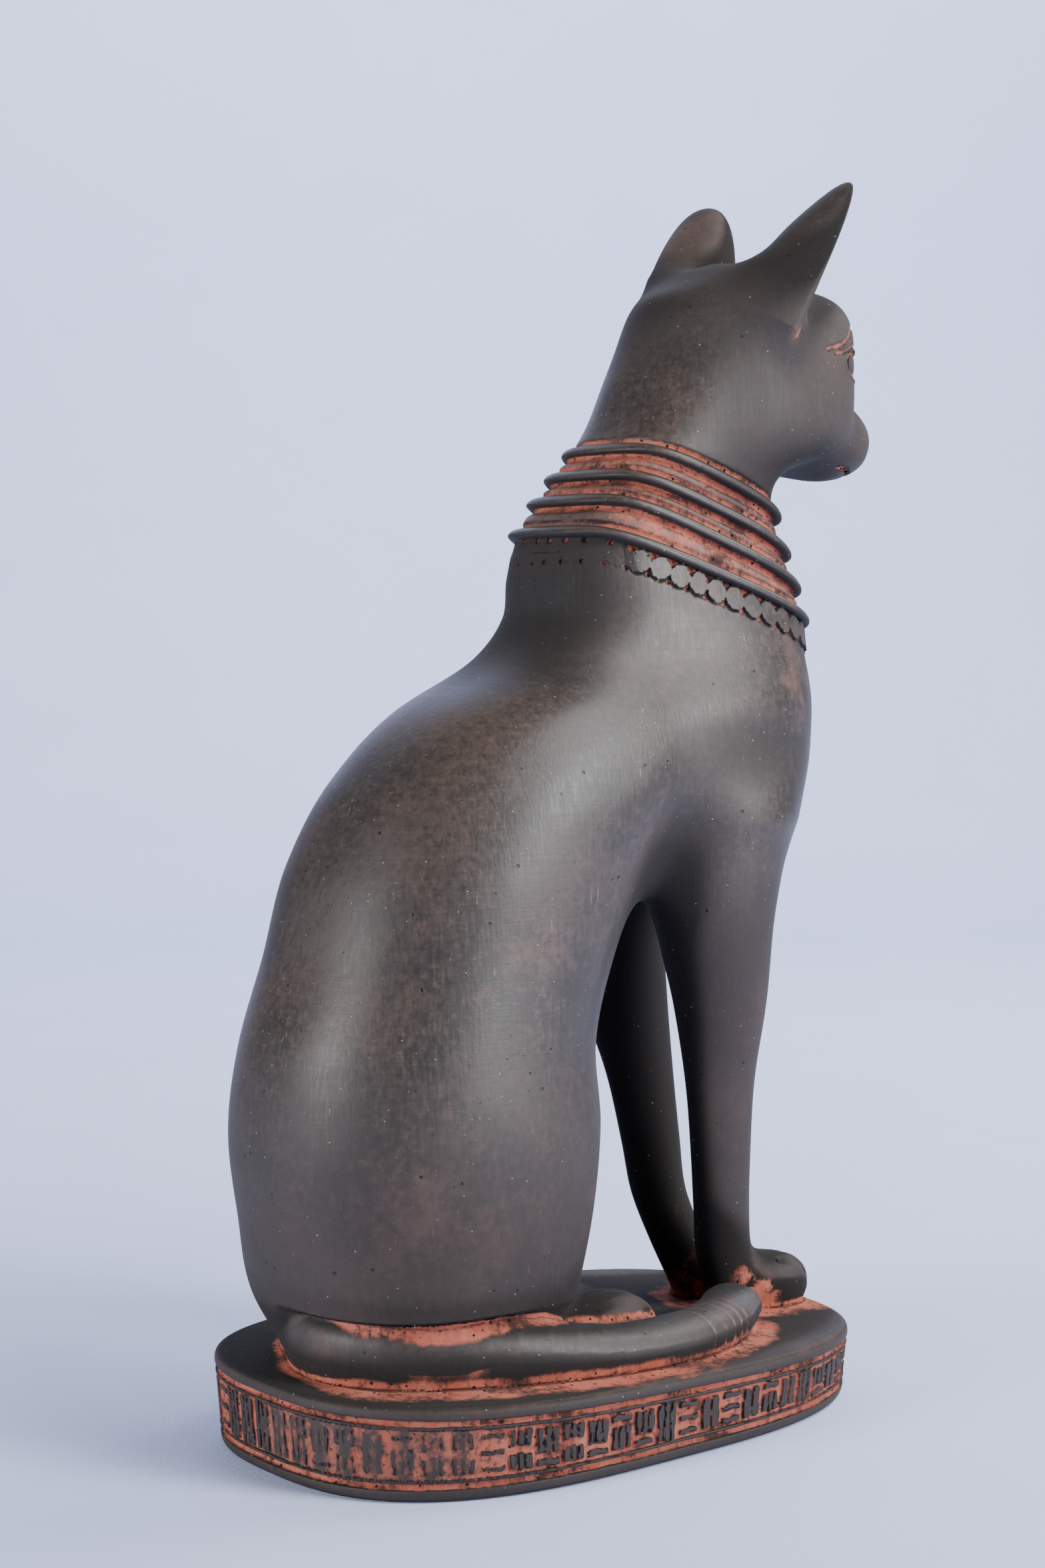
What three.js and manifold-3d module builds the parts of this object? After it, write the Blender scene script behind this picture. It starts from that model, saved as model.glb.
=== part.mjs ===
// A seated cat goddess figure, cast in one piece with its oval plinth.
// Millimetres, +Z up. The cat faces -Y and its left side is +X.
// The origin is the middle of the plinth's underside.
import * as THREE from "three";
import { mergeVertices } from "three/addons/utils/BufferGeometryUtils.js";
import Module from "manifold-3d";

// Plinth
const PLINTH_LENGTH = 165;
const PLINTH_WIDTH = 108;
const PLINTH_SIDE_STRAIGHT = 10; // straight run in the middle of each long side
const PLINTH_REAR_HEIGHT = 22.5;
const PLINTH_FRONT_HEIGHT = 17.5;
const PLINTH_ROUNDNESS = 2.7; // superellipse exponent of the two ends
const PLINTH_SIDES = 36;
const WALL_DRAFT = 1.7; // how far the foot of the wall stands inside the rim
const RIM_BAND = 3;
const RIM_ROUND = 1.1;
const FOOT_BAND = 3.2;
const FOOT_CHAMFER = 0.8;
const GROOVE_WIDTH = 1.3;
const GROOVE_DEPTH = 1;
const BORDER_LINE = 0.9;
const PANEL_DEPTH = 0.8;

// Inscription: a row of plain strokes around the wall
const STROKE_COUNT = 34;
const STROKE_WIDTH = 1.6;
const STROKE_GAP = 0.9; // bare ground above and below a full stroke
const STROKE_FOOTING = 1.5; // how deep a stroke's block is rooted in the wall
const STROKE_SHARES = [1, 0.55, 0.8, 0.45, 1, 0.7]; // lengths that follow one another

// Cat: its carving is drawn for a cat of DRAWN_HEIGHT and follows CAT_HEIGHT as shares of it
const CAT_HEIGHT = 286; // plinth top to ear tips
const DRAWN_HEIGHT = 286;
const CAT_SCALE = CAT_HEIGHT / DRAWN_HEIGHT;
const CAT_ROOT = -5; // the figure runs on into the plinth by this much

// Trunk, neck and nape as level sections above the plinth top:
// height, half width, back, front, squareness
const TRUNK = [
  [-6, 31, 61, 7.5, 2.5],
  [6, 34.5, 68.5, 5, 2.5],
  [16, 37.5, 74.5, 2.5, 2.4],
  [36, 40, 79, -3, 2.3],
  [56, 40.5, 81.5, -5.5, 2.3],
  [76, 38.5, 79, -5, 2.3],
  [96, 37, 72, -11, 2.4],
  [119, 36.5, 65, -24.5, 2.4],
  [138, 35.5, 53, -44.5, 2.4],
  [154, 32, 35, -63, 2.5],
  [166, 27, 12, -70.5, 2.7],
  [176, 26, 2, -75, 2.9],
  [186, 25, 0.5, -73.5, 3],
  [198, 23, -3, -69.5, 3],
  [210, 21, -12.5, -67.5, 3],
  [224, 20.5, -24.5, -67.5, 2.8],
  [237, 19.5, -32.5, -69.5, 2.5],
  [252, 16.5, -46, -67, 2.4],
  [266, 10, -56.5, -60, 2.3],
];
const TRUNK_TOP = 268;

// A foreleg as level ovals: height, sideways, forward, half width, half depth
const FORELEG = [
  [0, 6.5, -59.5, 6, 8],
  [14, 9, -53.5, 6, 8],
  [26, 12, -50, 6, 8],
  [40, 13.5, -48.5, 5.5, 8.5],
  [58, 15.5, -46.5, 5.5, 10],
  [80, 19, -43.5, 8.5, 13],
  [102, 21, -40, 12, 16.5],
  [126, 20, -43.5, 15, 19],
];
const FORELEG_TOP = 136;

// Tail: the line of its middle, from the rump round the right haunch to the curl behind the paw
const TAIL_PATH = [
  [8, 60.5, 9.5],
  [-1, 64.5, 9.5],
  [-10.5, 64.5, 9.5],
  [-19.7, 60.2, 9.5],
  [-26.4, 49.5, 8.8],
  [-31.9, 36, 7.6],
  [-35, 22, 6.2],
  [-36.9, 8, 5],
  [-37, -7, 4.8],
  [-34.8, -20, 4.8],
  [-29.3, -33, 4.8],
  [-20, -45, 4.2],
];
const TAIL_ROOT_RADIUS = 9.3;
const TAIL_END_RADIUS = 7.8;
const TAIL_BED = 2.2; // its oval section reaches this far below the plinth top
const TAIL_LINKS = 22;
const LEDGE_HEIGHT = 17.5; // the right haunch is drawn in under this, where the tail lies against it
const LEDGE_DEPTH = 3;

// Ear: middle of its root, tip, the way from its inner to its outer rim
const EAR_ROOT = [17.4, -64.9, 248.2];
const EAR_TIP = [27, -81.2, 285.9];
const EAR_ACROSS = [0.922, 0.38, -0.069];
const EAR_WIDTH = 18; // half width and bulge of the back, before they fall off toward the tip
const EAR_BULGE = 11.5;
const EAR_LEVELS = [-0.5, -0.1, 0.2, 0.46, 0.67, 0.83, 0.94, 0.985]; // shares of its length
const EAR_BACK = [1, 0.8, 0.3, -0.3, -0.8, -1]; // shares of its half width
const EAR_SCOOP = [[-0.8, 0.02], [-0.42, -0.4], [0.42, -0.4], [0.8, 0.02]]; // its hollow front

// Collar: height at the back, where it begins to fall toward the front, fall per unit
const RINGS = [
  [218.3, -21, 0.362],
  [211.7, -16, 0.36],
  [205.3, -12, 0.36],
  [197.4, -6, 0.325],
];
const RING_PROUD = 1.7;
const RING_HALF = 1.6; // half the height of a ring
const RING_STEPS = 28;
const COLLAR_PROUD = 0.6; // the band that carries the rings
const NECK_AXIS_Y = -36;
const DISC_RADIUS = 2.9;
const DISC_DROP = 4.8; // disc centres under the lowest ring
const DISC_PITCH = 6.2;
const DISC_PROUD = 0.7;
const DISC_FOOTING = 2;
const DISC_REAR_LIMIT = -10; // no disc hangs behind this y
const DISC_SIDES = 6;

// Lines of the grid that samples the cat, closer where its forms are finer
const GRID_X = gridLines([[0, 5.3], [26.5, 8.6], [61, 8.6]], true);
const GRID_Y = gridLines([[-124, 6.5], [-36, 9.8], [96, 9.8]], false);
const GRID_Z = gridLines([[-14, 6.5], [12, 3], [21, 13.5], [210, 6.4], [TRUNK_TOP + 8, 6.4]], false);

const WAX_BROWN = new THREE.MeshStandardMaterial({
  color: 0x2e2724,
  roughness: 0.42,
  metalness: 0,
});

const wasm = await Module();
wasm.setup();

/** Grid lines from stops of [position, spacing]; mirrored about zero where asked. */
function gridLines(stops, mirrored) {
  const lines = [];
  for (let i = 0; i + 1 < stops.length; i++) {
    const [from, spacing] = stops[i];
    const span = stops[i + 1][0] - from;
    const count = Math.max(1, Math.round(span / spacing));
    for (let k = 0; k < count; k++) lines.push(from + (span * k) / count);
  }
  lines.push(stops[stops.length - 1][0]);
  if (!mirrored) return lines;
  const left = lines.filter((v) => v > 0).map((v) => -v);
  return [...left.reverse(), ...lines];
}

/** A smooth curve through (knot, value) pairs, flat beyond its ends. */
function spline(knots, values) {
  const last = knots.length - 1;
  const rise = knots.slice(1).map((k, i) => (values[i + 1] - values[i]) / (k - knots[i]));
  const slope = values.map((_, i) => {
    if (i === 0) return rise[0];
    if (i === last) return rise[last - 1];
    const before = knots[i] - knots[i - 1];
    const after = knots[i + 1] - knots[i];
    return (rise[i] * before + rise[i - 1] * after) / (before + after);
  });
  return (x) => {
    const u = Math.min(Math.max(x, knots[0]), knots[last]);
    let i = 0;
    while (i < last - 1 && u >= knots[i + 1]) i++;
    const h = knots[i + 1] - knots[i];
    const t = (u - knots[i]) / h;
    const s = 1 - t;
    return (
      s * s * (1 + 2 * t) * values[i] +
      t * s * s * h * slope[i] +
      t * t * (3 - 2 * t) * values[i + 1] -
      t * t * s * h * slope[i + 1]
    );
  };
}

/** The splines through each column of a table, by its first column. */
function columns(table) {
  const knots = table.map((row) => row[0]);
  return table[0].slice(1).map((_, c) => spline(knots, table.map((row) => row[c + 1])));
}

/** Union of two distances, rounded over the width k. */
function blend(a, b, k) {
  const h = Math.max(k - Math.abs(a - b), 0) / k;
  return Math.min(a, b) - (h * h * k) / 4;
}

/** Cut of distance b out of distance a, rounded over the width k. */
function carve(a, b, k) {
  return -blend(-a, b, k);
}

/** Signed distance, nearly, to an ellipsoid at centre c with half axes r. */
function egg(x, y, z, c, r) {
  const [u, v, w] = [(x - c[0]) / r[0], (y - c[1]) / r[1], (z - c[2]) / r[2]];
  const near = Math.hypot(u, v, w);
  const far = Math.hypot(u / r[0], v / r[1], w / r[2]);
  return (near * (near - 1)) / Math.max(far, 1e-6);
}

const [trunkHalf, trunkBack, trunkFront, trunkSquare] = columns(TRUNK);
const [legX, legY, legHalf, legDepth] = columns(FORELEG);

function trunk(x, y, z) {
  const half = trunkHalf(z);
  const back = trunkBack(z);
  const front = trunkFront(z);
  const n = trunkSquare(z);
  const depth = Math.max((back - front) / 2, 2);
  const k = ((Math.abs(x) / half) ** n + (Math.abs(y - (back + front) / 2) / depth) ** n) ** (1 / n);
  const body = -blend(-(k - 1) * Math.min(half, depth) * 0.9, TRUNK_TOP - z, 10);
  const breasted = blend(body, egg(x, y, z, [0, -48, 147], [29.5, 35, 33]), 16);
  return carve(breasted, egg(x, y, z, [0, -19, 32], [7, 15, 46]), 14);
}

function foreleg(side, y, z) {
  const [half, depth] = [legHalf(z), legDepth(z)];
  const k = Math.hypot((side - legX(z)) / half, (y - legY(z)) / depth);
  return -blend(-(k - 1) * Math.min(half, depth), FORELEG_TOP - z, 12);
}

/** Skull and cheeks as one squarish egg, with chin and muzzle. */
function head(x, y, z) {
  const [half, length, height, square] = [25, 32.5, 22.5, 4.2];
  const flat = Math.hypot(x / half, (y + 68.5) / length) ** square;
  const skull = ((flat + (Math.abs(z - 238) / height) ** square) ** (1 / square) - 1) * height;
  const chinned = blend(skull, egg(x, y, z, [0, -92, 219.5], [9.5, 16, 5]), 8);
  return blend(chinned, egg(x, y, z, [0, -97.5, 223.5], [10, 14.5, 10]), 5);
}

const earRoot = new THREE.Vector3(...EAR_ROOT);
const earLength = earRoot.distanceTo(new THREE.Vector3(...EAR_TIP));
const earAlong = new THREE.Vector3(...EAR_TIP).sub(earRoot).normalize();
const earAcross = new THREE.Vector3(...EAR_ACROSS);
earAcross.addScaledVector(earAlong, -earAcross.dot(earAlong)).normalize();
const earForward = new THREE.Vector3().crossVectors(earAlong, earAcross);
if (earForward.y > 0) earForward.negate();

/** An ear as a cup that is hollow in front, rooted inside the head. */
function earLeaf(hand) {
  const rows = EAR_LEVELS.map((along) => {
    const fall = 1 - along;
    const dive = Math.min(1, (along + 0.9) / 0.8); // narrows it inside the head
    const wide = EAR_WIDTH * fall ** 0.43 * (1 - 0.31 * fall) * dive;
    const thick = EAR_BULGE * fall ** 0.5 * (1 + 0.83 * fall) * dive;
    const section = EAR_BACK.map((u) => [u, -Math.sqrt(1 - u * u)]);
    return [...section, ...EAR_SCOOP].map(([across, out]) => {
      const p = earRoot.clone().addScaledVector(earAlong, along * earLength);
      p.addScaledVector(earAcross, across * wide).addScaledVector(earForward, out * thick);
      return p.setX(p.x * hand);
    });
  });
  return skin(hand > 0 ? rows : rows.map((row) => row.reverse()));
}

const tailCurve = new THREE.CatmullRomCurve3(
  TAIL_PATH.map((place) => new THREE.Vector3(...place)),
  false,
  "centripetal",
);
const tailPoints = tailCurve.getPoints(TAIL_LINKS);

function tail(x, y, z) {
  let nearest = Infinity;
  for (let i = 0; i < TAIL_LINKS; i++) {
    const a = tailPoints[i];
    const b = tailPoints[i + 1];
    const [dx, dy] = [b.x - a.x, b.y - a.y];
    const t = Math.min(Math.max(((x - a.x) * dx + (y - a.y) * dy) / (dx * dx + dy * dy), 0), 1);
    const radius = THREE.MathUtils.lerp(TAIL_ROOT_RADIUS, TAIL_END_RADIUS, (i + t) / TAIL_LINKS);
    const level = THREE.MathUtils.lerp(a.z, b.z, t);
    const rise = ((z - level) * radius) / (level + TAIL_BED);
    nearest = Math.min(nearest, Math.hypot(x - a.x - t * dx, y - a.y - t * dy, rise) - radius);
  }
  return nearest;
}

/** How far the right haunch is drawn in under its ledge, which runs out toward the foot. */
function undercut(x, y, z) {
  const { smoothstep } = THREE.MathUtils;
  const rear = smoothstep(y, 0, 45);
  const under = 1 - smoothstep(z, LEDGE_HEIGHT - 3.5 + 2 * rear, LEDGE_HEIGHT - 0.5 + 2 * rear);
  return LEDGE_DEPTH * rear * under * smoothstep(-x, -6, 6);
}

/** Signed distance, nearly, to the bare cat, in the drawn height's millimetres above the plinth. */
function cat(x, y, z) {
  const side = Math.abs(x);
  let d = blend(trunk(x, y, z) + undercut(x, y, z), foreleg(side, y, z), 14);
  d = blend(d, egg(side, y, z, [9.5, -70.3, 2.4], [8.4, 11.7, 9.3]), 5);
  d = blend(d, head(x, y, z), 12);
  d = blend(d, egg(side, y, z, [25.5, 3, 5], [8.5, 17.5, 10.4]), 3);
  d = blend(d, tail(x, y, z), 2);
  return Math.max(d, CAT_ROOT - z);
}

/** The slope of the distance at a point, as a unit vector. */
function catNormal(p) {
  const e = 0.05;
  return new THREE.Vector3(
    cat(p.x + e, p.y, p.z) - cat(p.x - e, p.y, p.z),
    cat(p.x, p.y + e, p.z) - cat(p.x, p.y - e, p.z),
    cat(p.x, p.y, p.z + e) - cat(p.x, p.y, p.z - e),
  ).normalize();
}

// a grid cell: corner numbers hold one bit an axis, faces list their corners in turn
const AXIS_BITS = [1, 2, 4];
const CELL_EDGES = [0, 1, 2, 3, 4, 5, 6, 7].flatMap((a) =>
  AXIS_BITS.filter((bit) => !(a & bit)).map((bit) => [a, a | bit]),
);
const CELL_FACES = [0, 1, 2].flatMap((axis) => {
  const [w, u, v] = [0, 1, 2].map((turn) => AXIS_BITS[(axis + turn) % 3]);
  return [0, w].map((side) => [side, side | u, side | u | v, side | v]);
});

/** For each crossed edge of a cell, the loop of the surface that it lies on. */
function cellLoops(inside) {
  const edge = (a, b) => Math.min(a, b) * 8 + Math.max(a, b);
  const loops = new Map();
  for (const [a, b] of CELL_EDGES) if (inside[a] !== inside[b]) loops.set(edge(a, b), edge(a, b));
  for (const face of CELL_FACES)
    for (let i = 0; i < 4; i++) {
      if (inside[face[i]] || !inside[face[(i + 1) % 4]]) continue;
      let j = i + 1;
      while (inside[face[(j + 1) % 4]]) j++;
      const entry = loops.get(edge(face[i], face[(i + 1) % 4]));
      const leave = loops.get(edge(face[j % 4], face[(j + 1) % 4]));
      for (const [key, loop] of loops) if (loop === entry) loops.set(key, leave);
    }
  return loops;
}

/** A closed net of quads over the zero of a distance, one corner for each loop in a grid cell. */
function surfaceNet(field, xs, ys, zs) {
  const [nx, ny, nz] = [xs.length, ys.length, zs.length];
  const values = new Float64Array(nx * ny * nz);
  const at = (i, j, k) => (i * ny + j) * nz + k;
  for (let i = 0; i < nx; i++)
    for (let j = 0; j < ny; j++)
      for (let k = 0; k < nz; k++) values[at(i, j, k)] = field(xs[i], ys[j], zs[k]);
  const corner = new Map();
  const points = [];
  const addCell = (i, j, k) => {
    const spots = [0, 1, 2, 3, 4, 5, 6, 7].map((a) => [i + (a & 1), j + ((a >> 1) & 1), k + (a >> 2)]);
    const corners = spots.map((spot) => values[at(...spot)]);
    const places = new Map();
    for (const [key, loop] of cellLoops(corners.map((value) => value < 0))) {
      const [a, b] = [key >> 3, key & 7];
      const start = new THREE.Vector3(xs[spots[a][0]], ys[spots[a][1]], zs[spots[a][2]]);
      const end = new THREE.Vector3(xs[spots[b][0]], ys[spots[b][1]], zs[spots[b][2]]);
      if (!places.has(loop)) places.set(loop, { sum: new THREE.Vector3(), keys: [] });
      places.get(loop).sum.add(start.lerp(end, corners[a] / (corners[a] - corners[b])));
      places.get(loop).keys.push(key);
    }
    for (const { sum, keys } of places.values()) {
      for (const key of keys) corner.set(at(i, j, k) * 64 + key, points.length);
      points.push(sum.divideScalar(keys.length));
    }
  };
  for (let i = 0; i + 1 < nx; i++)
    for (let j = 0; j + 1 < ny; j++) for (let k = 0; k + 1 < nz; k++) addCell(i, j, k);
  const quads = [];
  const steps = [ny * nz, nz, 1];
  for (let i = 1; i + 1 < nx; i++)
    for (let j = 1; j + 1 < ny; j++)
      for (let k = 1; k + 1 < nz; k++)
        for (let axis = 0; axis < 3; axis++) {
          const here = at(i, j, k);
          const inside = values[here] < 0;
          if (inside === values[here + steps[axis]] < 0) continue;
          const [along, u, v] = [0, 1, 2].map((turn) => (axis + turn) % 3);
          const [ub, vb] = [AXIS_BITS[u], AXIS_BITS[v]];
          const cells = [
            [here - steps[u] - steps[v], ub | vb],
            [here - steps[v], vb],
            [here, 0],
            [here - steps[u], ub],
          ];
          const quad = cells.map(([cell, a]) => corner.get(cell * 64 + a * 8 + (a | AXIS_BITS[along])));
          quads.push(inside ? quad : quad.reverse());
        }
  return { points, quads };
}

/** The cat's own surface, its corners drawn onto the true form. */
function catGeometry() {
  const { points, quads } = surfaceNet(cat, GRID_X, GRID_Y, GRID_Z);
  for (const p of points)
    for (let step = 0; step < 3; step++) {
      if (p.z < CAT_ROOT + 0.5) break;
      const gap = THREE.MathUtils.clamp(cat(p.x, p.y, p.z), -0.6, 0.6);
      p.addScaledVector(catNormal(p), -gap);
    }
  const faces = [];
  for (const [a, b, c, d] of quads) {
    const even = points[a].distanceTo(points[c]) <= points[b].distanceTo(points[d]);
    if (even) faces.push(a, b, c, a, c, d);
    else faces.push(a, b, d, b, c, d);
  }
  const geometry = new THREE.BufferGeometry().setFromPoints(points);
  geometry.setIndex(faces);
  return geometry;
}

/** A closed skin over rings of points, from the lowest up, with a cap at each end. */
function skin(rows) {
  const across = rows[0].length;
  const top = (rows.length - 1) * across;
  const faces = [];
  for (let r = 0; r < top; r += across)
    for (let c = 0; c < across; c++) {
      const [a, b] = [r + c, r + ((c + 1) % across)];
      faces.push(a, b, b + across, a, b + across, a + across);
    }
  for (let c = 1; c + 1 < across; c++) faces.push(0, c + 1, c, top, top + c, top + c + 1);
  const geometry = new THREE.BufferGeometry().setFromPoints(rows.flat());
  geometry.setIndex(faces);
  return geometry;
}

function solidOf(geometry) {
  const bare = geometry.clone();
  bare.deleteAttribute("normal");
  bare.deleteAttribute("uv");
  const merged = mergeVertices(bare, 1e-4);
  const vertProperties = merged.attributes.position.array;
  const triVerts = new Uint32Array(merged.index.array);
  return new wasm.Manifold(new wasm.Mesh({ numProp: 3, vertProperties, triVerts }));
}

/** Height of a collar ring above the plinth at a distance y along the neck. */
function ringHeight([level, knee, fall], y) {
  const ahead = knee - y;
  return level - (fall / 2) * (Math.sqrt(ahead * ahead + 9) + ahead);
}

/** Where a ray from the neck's axis, kept at a ring's height, leaves the neck. */
function neckPoint(ring, drop, angle) {
  const p = new THREE.Vector3();
  let [near, far] = [5, 60];
  for (let step = 0; step < 24; step++) {
    const reach = (near + far) / 2;
    const y = NECK_AXIS_Y + reach * Math.sin(angle);
    p.set(reach * Math.cos(angle), y, ringHeight(ring, y) - drop);
    if (cat(p.x, p.y, p.z) < 0) near = reach;
    else far = reach;
  }
  return p;
}

/** The collar: a thin band around the neck with its four rings, rooted inside the neck. */
function collarBand() {
  const lowest = RINGS[RINGS.length - 1];
  const profile = [[lowest, 3 * RING_HALF, -3], [lowest, 1.2 * RING_HALF, COLLAR_PROUD]];
  for (const ring of [...RINGS].reverse()) {
    profile.push([ring, RING_HALF, COLLAR_PROUD], [ring, 0.5 * RING_HALF, RING_PROUD]);
    profile.push([ring, -0.5 * RING_HALF, RING_PROUD], [ring, -RING_HALF, COLLAR_PROUD]);
  }
  profile.push([RINGS[0], -1.2 * RING_HALF, COLLAR_PROUD], [RINGS[0], -3 * RING_HALF, -3]);
  const rows = profile.map(([ring, drop, proud]) => {
    const row = [];
    for (let s = 0; s < RING_STEPS; s++) {
      const p = neckPoint(ring, drop, (2 * Math.PI * s) / RING_STEPS);
      row.push(p.addScaledVector(catNormal(p), proud));
    }
    return row;
  });
  return skin(rows);
}

/** The pendant discs, one pitch apart along the neck under the lowest ring. */
function collarDiscs() {
  const lowest = RINGS[RINGS.length - 1];
  const discs = [];
  const up = new THREE.Vector3(0, 1, 0);
  const step = 0.01;
  for (const hand of [-1, 1]) {
    let travelled = DISC_PITCH / 2;
    let previous = neckPoint(lowest, DISC_DROP, -Math.PI / 2);
    for (let turn = step; turn < Math.PI; turn += step) {
      const p = neckPoint(lowest, DISC_DROP, -Math.PI / 2 + hand * turn);
      if (p.y > DISC_REAR_LIMIT) break;
      travelled += p.distanceTo(previous);
      previous = p;
      if (travelled < DISC_PITCH) continue;
      travelled -= DISC_PITCH;
      const out = catNormal(p);
      const height = DISC_PROUD + DISC_FOOTING;
      const disc = new THREE.CylinderGeometry(DISC_RADIUS, DISC_RADIUS, height, DISC_SIDES);
      disc.applyQuaternion(new THREE.Quaternion().setFromUnitVectors(up, out));
      p.addScaledVector(out, DISC_PROUD - height / 2);
      discs.push(disc.translate(p.x, p.y, p.z));
    }
  }
  return discs;
}

/** A raised almond for each eye, laid on the side of the face. */
function eyes() {
  return [-1, 1].map((hand) => {
    const eye = new THREE.SphereGeometry(1, 8, 6).scale(6.6, 2, 2.6);
    eye.rotateY(hand * -0.16).rotateZ(hand * 0.9);
    return eye.translate(hand * 17.2, -91.1, 240.5);
  });
}

/** Height of the plinth's top at a distance y from its middle. */
function plinthTop(y) {
  return THREE.MathUtils.lerp(PLINTH_FRONT_HEIGHT, PLINTH_REAR_HEIGHT, y / PLINTH_LENGTH + 0.5);
}

/** A point of the plinth's outline, drawn in by inset, at a turn from +X. */
function plinthOutline(turn, inset) {
  const power = 2 / PLINTH_ROUNDNESS;
  const [c, s] = [Math.cos(turn), Math.sin(turn)];
  const half = PLINTH_SIDE_STRAIGHT / 2;
  const x = Math.sign(c) * Math.abs(c) ** power * (PLINTH_WIDTH / 2 - inset);
  const y = Math.sign(s) * Math.abs(s) ** power * (PLINTH_LENGTH / 2 - half - inset);
  return new THREE.Vector2(x, y + Math.sign(s) * half);
}

/** Turns that step evenly around the plinth's outline. */
function evenTurns(count) {
  const fine = 4000;
  const reach = [0];
  for (let i = 1; i <= fine; i++) {
    const a = plinthOutline((2 * Math.PI * (i - 1)) / fine, 0);
    const b = plinthOutline((2 * Math.PI * i) / fine, 0);
    reach.push(reach[i - 1] + a.distanceTo(b));
  }
  const turns = [];
  let i = 0;
  for (let n = 0; n < count; n++) {
    const goal = (reach[fine] * (n + 0.5)) / count;
    while (reach[i] < goal) i++;
    turns.push((2 * Math.PI * i) / fine);
  }
  return turns;
}

/** How far the wall stands inside the rim at a share of its height. */
function draft(share) {
  return WALL_DRAFT * (1 - share);
}

/** The moulded plinth, from its underside up to its top. */
function plinthGeometry() {
  const line = GROOVE_WIDTH + BORDER_LINE;
  // each step of the profile: measured from the foot or the rim, height, extra inset
  const profile = [
    ["foot", 0, FOOT_CHAMFER],
    ["foot", FOOT_CHAMFER, 0],
    ["foot", FOOT_BAND, 0],
    ["foot", FOOT_BAND, GROOVE_DEPTH],
    ["foot", FOOT_BAND + GROOVE_WIDTH, GROOVE_DEPTH],
    ["foot", FOOT_BAND + GROOVE_WIDTH, 0],
    ["foot", FOOT_BAND + line, 0],
    ["foot", FOOT_BAND + line, PANEL_DEPTH],
    ["rim", RIM_BAND + line, PANEL_DEPTH],
    ["rim", RIM_BAND + line, 0],
    ["rim", RIM_BAND + GROOVE_WIDTH, 0],
    ["rim", RIM_BAND + GROOVE_WIDTH, GROOVE_DEPTH],
    ["rim", RIM_BAND, GROOVE_DEPTH],
    ["rim", RIM_BAND, 0],
    ["rim", RIM_ROUND, 0],
    ["rim", 0, RIM_ROUND],
  ];
  const turns = evenTurns(PLINTH_SIDES);
  const rows = profile.map(([from, height, inset]) =>
    turns.map((turn) => {
      const top = plinthTop(plinthOutline(turn, 0).y);
      const z = from === "foot" ? height : top - height;
      const { x, y } = plinthOutline(turn, inset + draft(z / top));
      return new THREE.Vector3(x, y, z);
    }),
  );
  return skin(rows);
}

/** The strokes of the inscription, each a low block on the panel's ground. */
function strokes() {
  const line = GROOVE_WIDTH + BORDER_LINE;
  return evenTurns(STROKE_COUNT).map((turn, n) => {
    const here = plinthOutline(turn, 0);
    const ahead = plinthOutline(turn + 0.01, 0).sub(plinthOutline(turn - 0.01, 0));
    const top = plinthTop(here.y);
    const low = FOOT_BAND + line + STROKE_GAP;
    const high = top - RIM_BAND - line - STROKE_GAP;
    const length = (high - low) * STROKE_SHARES[n % STROKE_SHARES.length];
    const middle = n % 2 ? low + length / 2 : high - length / 2;
    const depth = STROKE_FOOTING + PANEL_DEPTH;
    const stroke = new THREE.BoxGeometry(depth, STROKE_WIDTH, length).toNonIndexed();
    const out = Math.atan2(-ahead.x, ahead.y);
    const centre = draft(middle / top) + depth / 2 - 0.1;
    stroke.rotateY(Math.atan2(WALL_DRAFT, top)).rotateZ(out);
    const reach = new THREE.Vector2(Math.cos(out), Math.sin(out)).multiplyScalar(-centre);
    return stroke.translate(here.x + reach.x, here.y + reach.y, middle);
  });
}

/** The whole casting as one solid. */
function casting() {
  const figure = [catGeometry(), earLeaf(-1), earLeaf(1), collarBand(), ...collarDiscs(), ...eyes()];
  const rise = (PLINTH_FRONT_HEIGHT + PLINTH_REAR_HEIGHT) / 2;
  let whole = solidOf(plinthGeometry());
  for (const geometry of strokes()) whole = whole.add(solidOf(geometry));
  for (const geometry of figure) {
    geometry.scale(CAT_SCALE, CAT_SCALE, CAT_SCALE).translate(0, 0, rise);
    whole = whole.add(solidOf(geometry));
  }
  const { vertProperties, triVerts } = whole.getMesh();
  const geometry = new THREE.BufferGeometry();
  geometry.setAttribute("position", new THREE.BufferAttribute(vertProperties, 3));
  geometry.setIndex(new THREE.BufferAttribute(triVerts, 1));
  geometry.computeVertexNormals();
  return geometry;
}

const part = new THREE.Group();
const figure = new THREE.Mesh(casting(), WAX_BROWN);
figure.name = "bastet_cat_on_plinth";
part.add(figure);

export default part;
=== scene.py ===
"""A seated cat figure, cast in one piece with its oval plinth.

The casting is one closed surface, drawn from distance fields in millimetres and
meshed in fine cells. The cat faces -Y, its left side is +X, and the origin is the
middle of the plinth's underside.
"""

import logging
import math
from dataclasses import dataclass, field
from enum import Enum

import bpy
import numpy as np
from mathutils import Matrix, Vector


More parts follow.
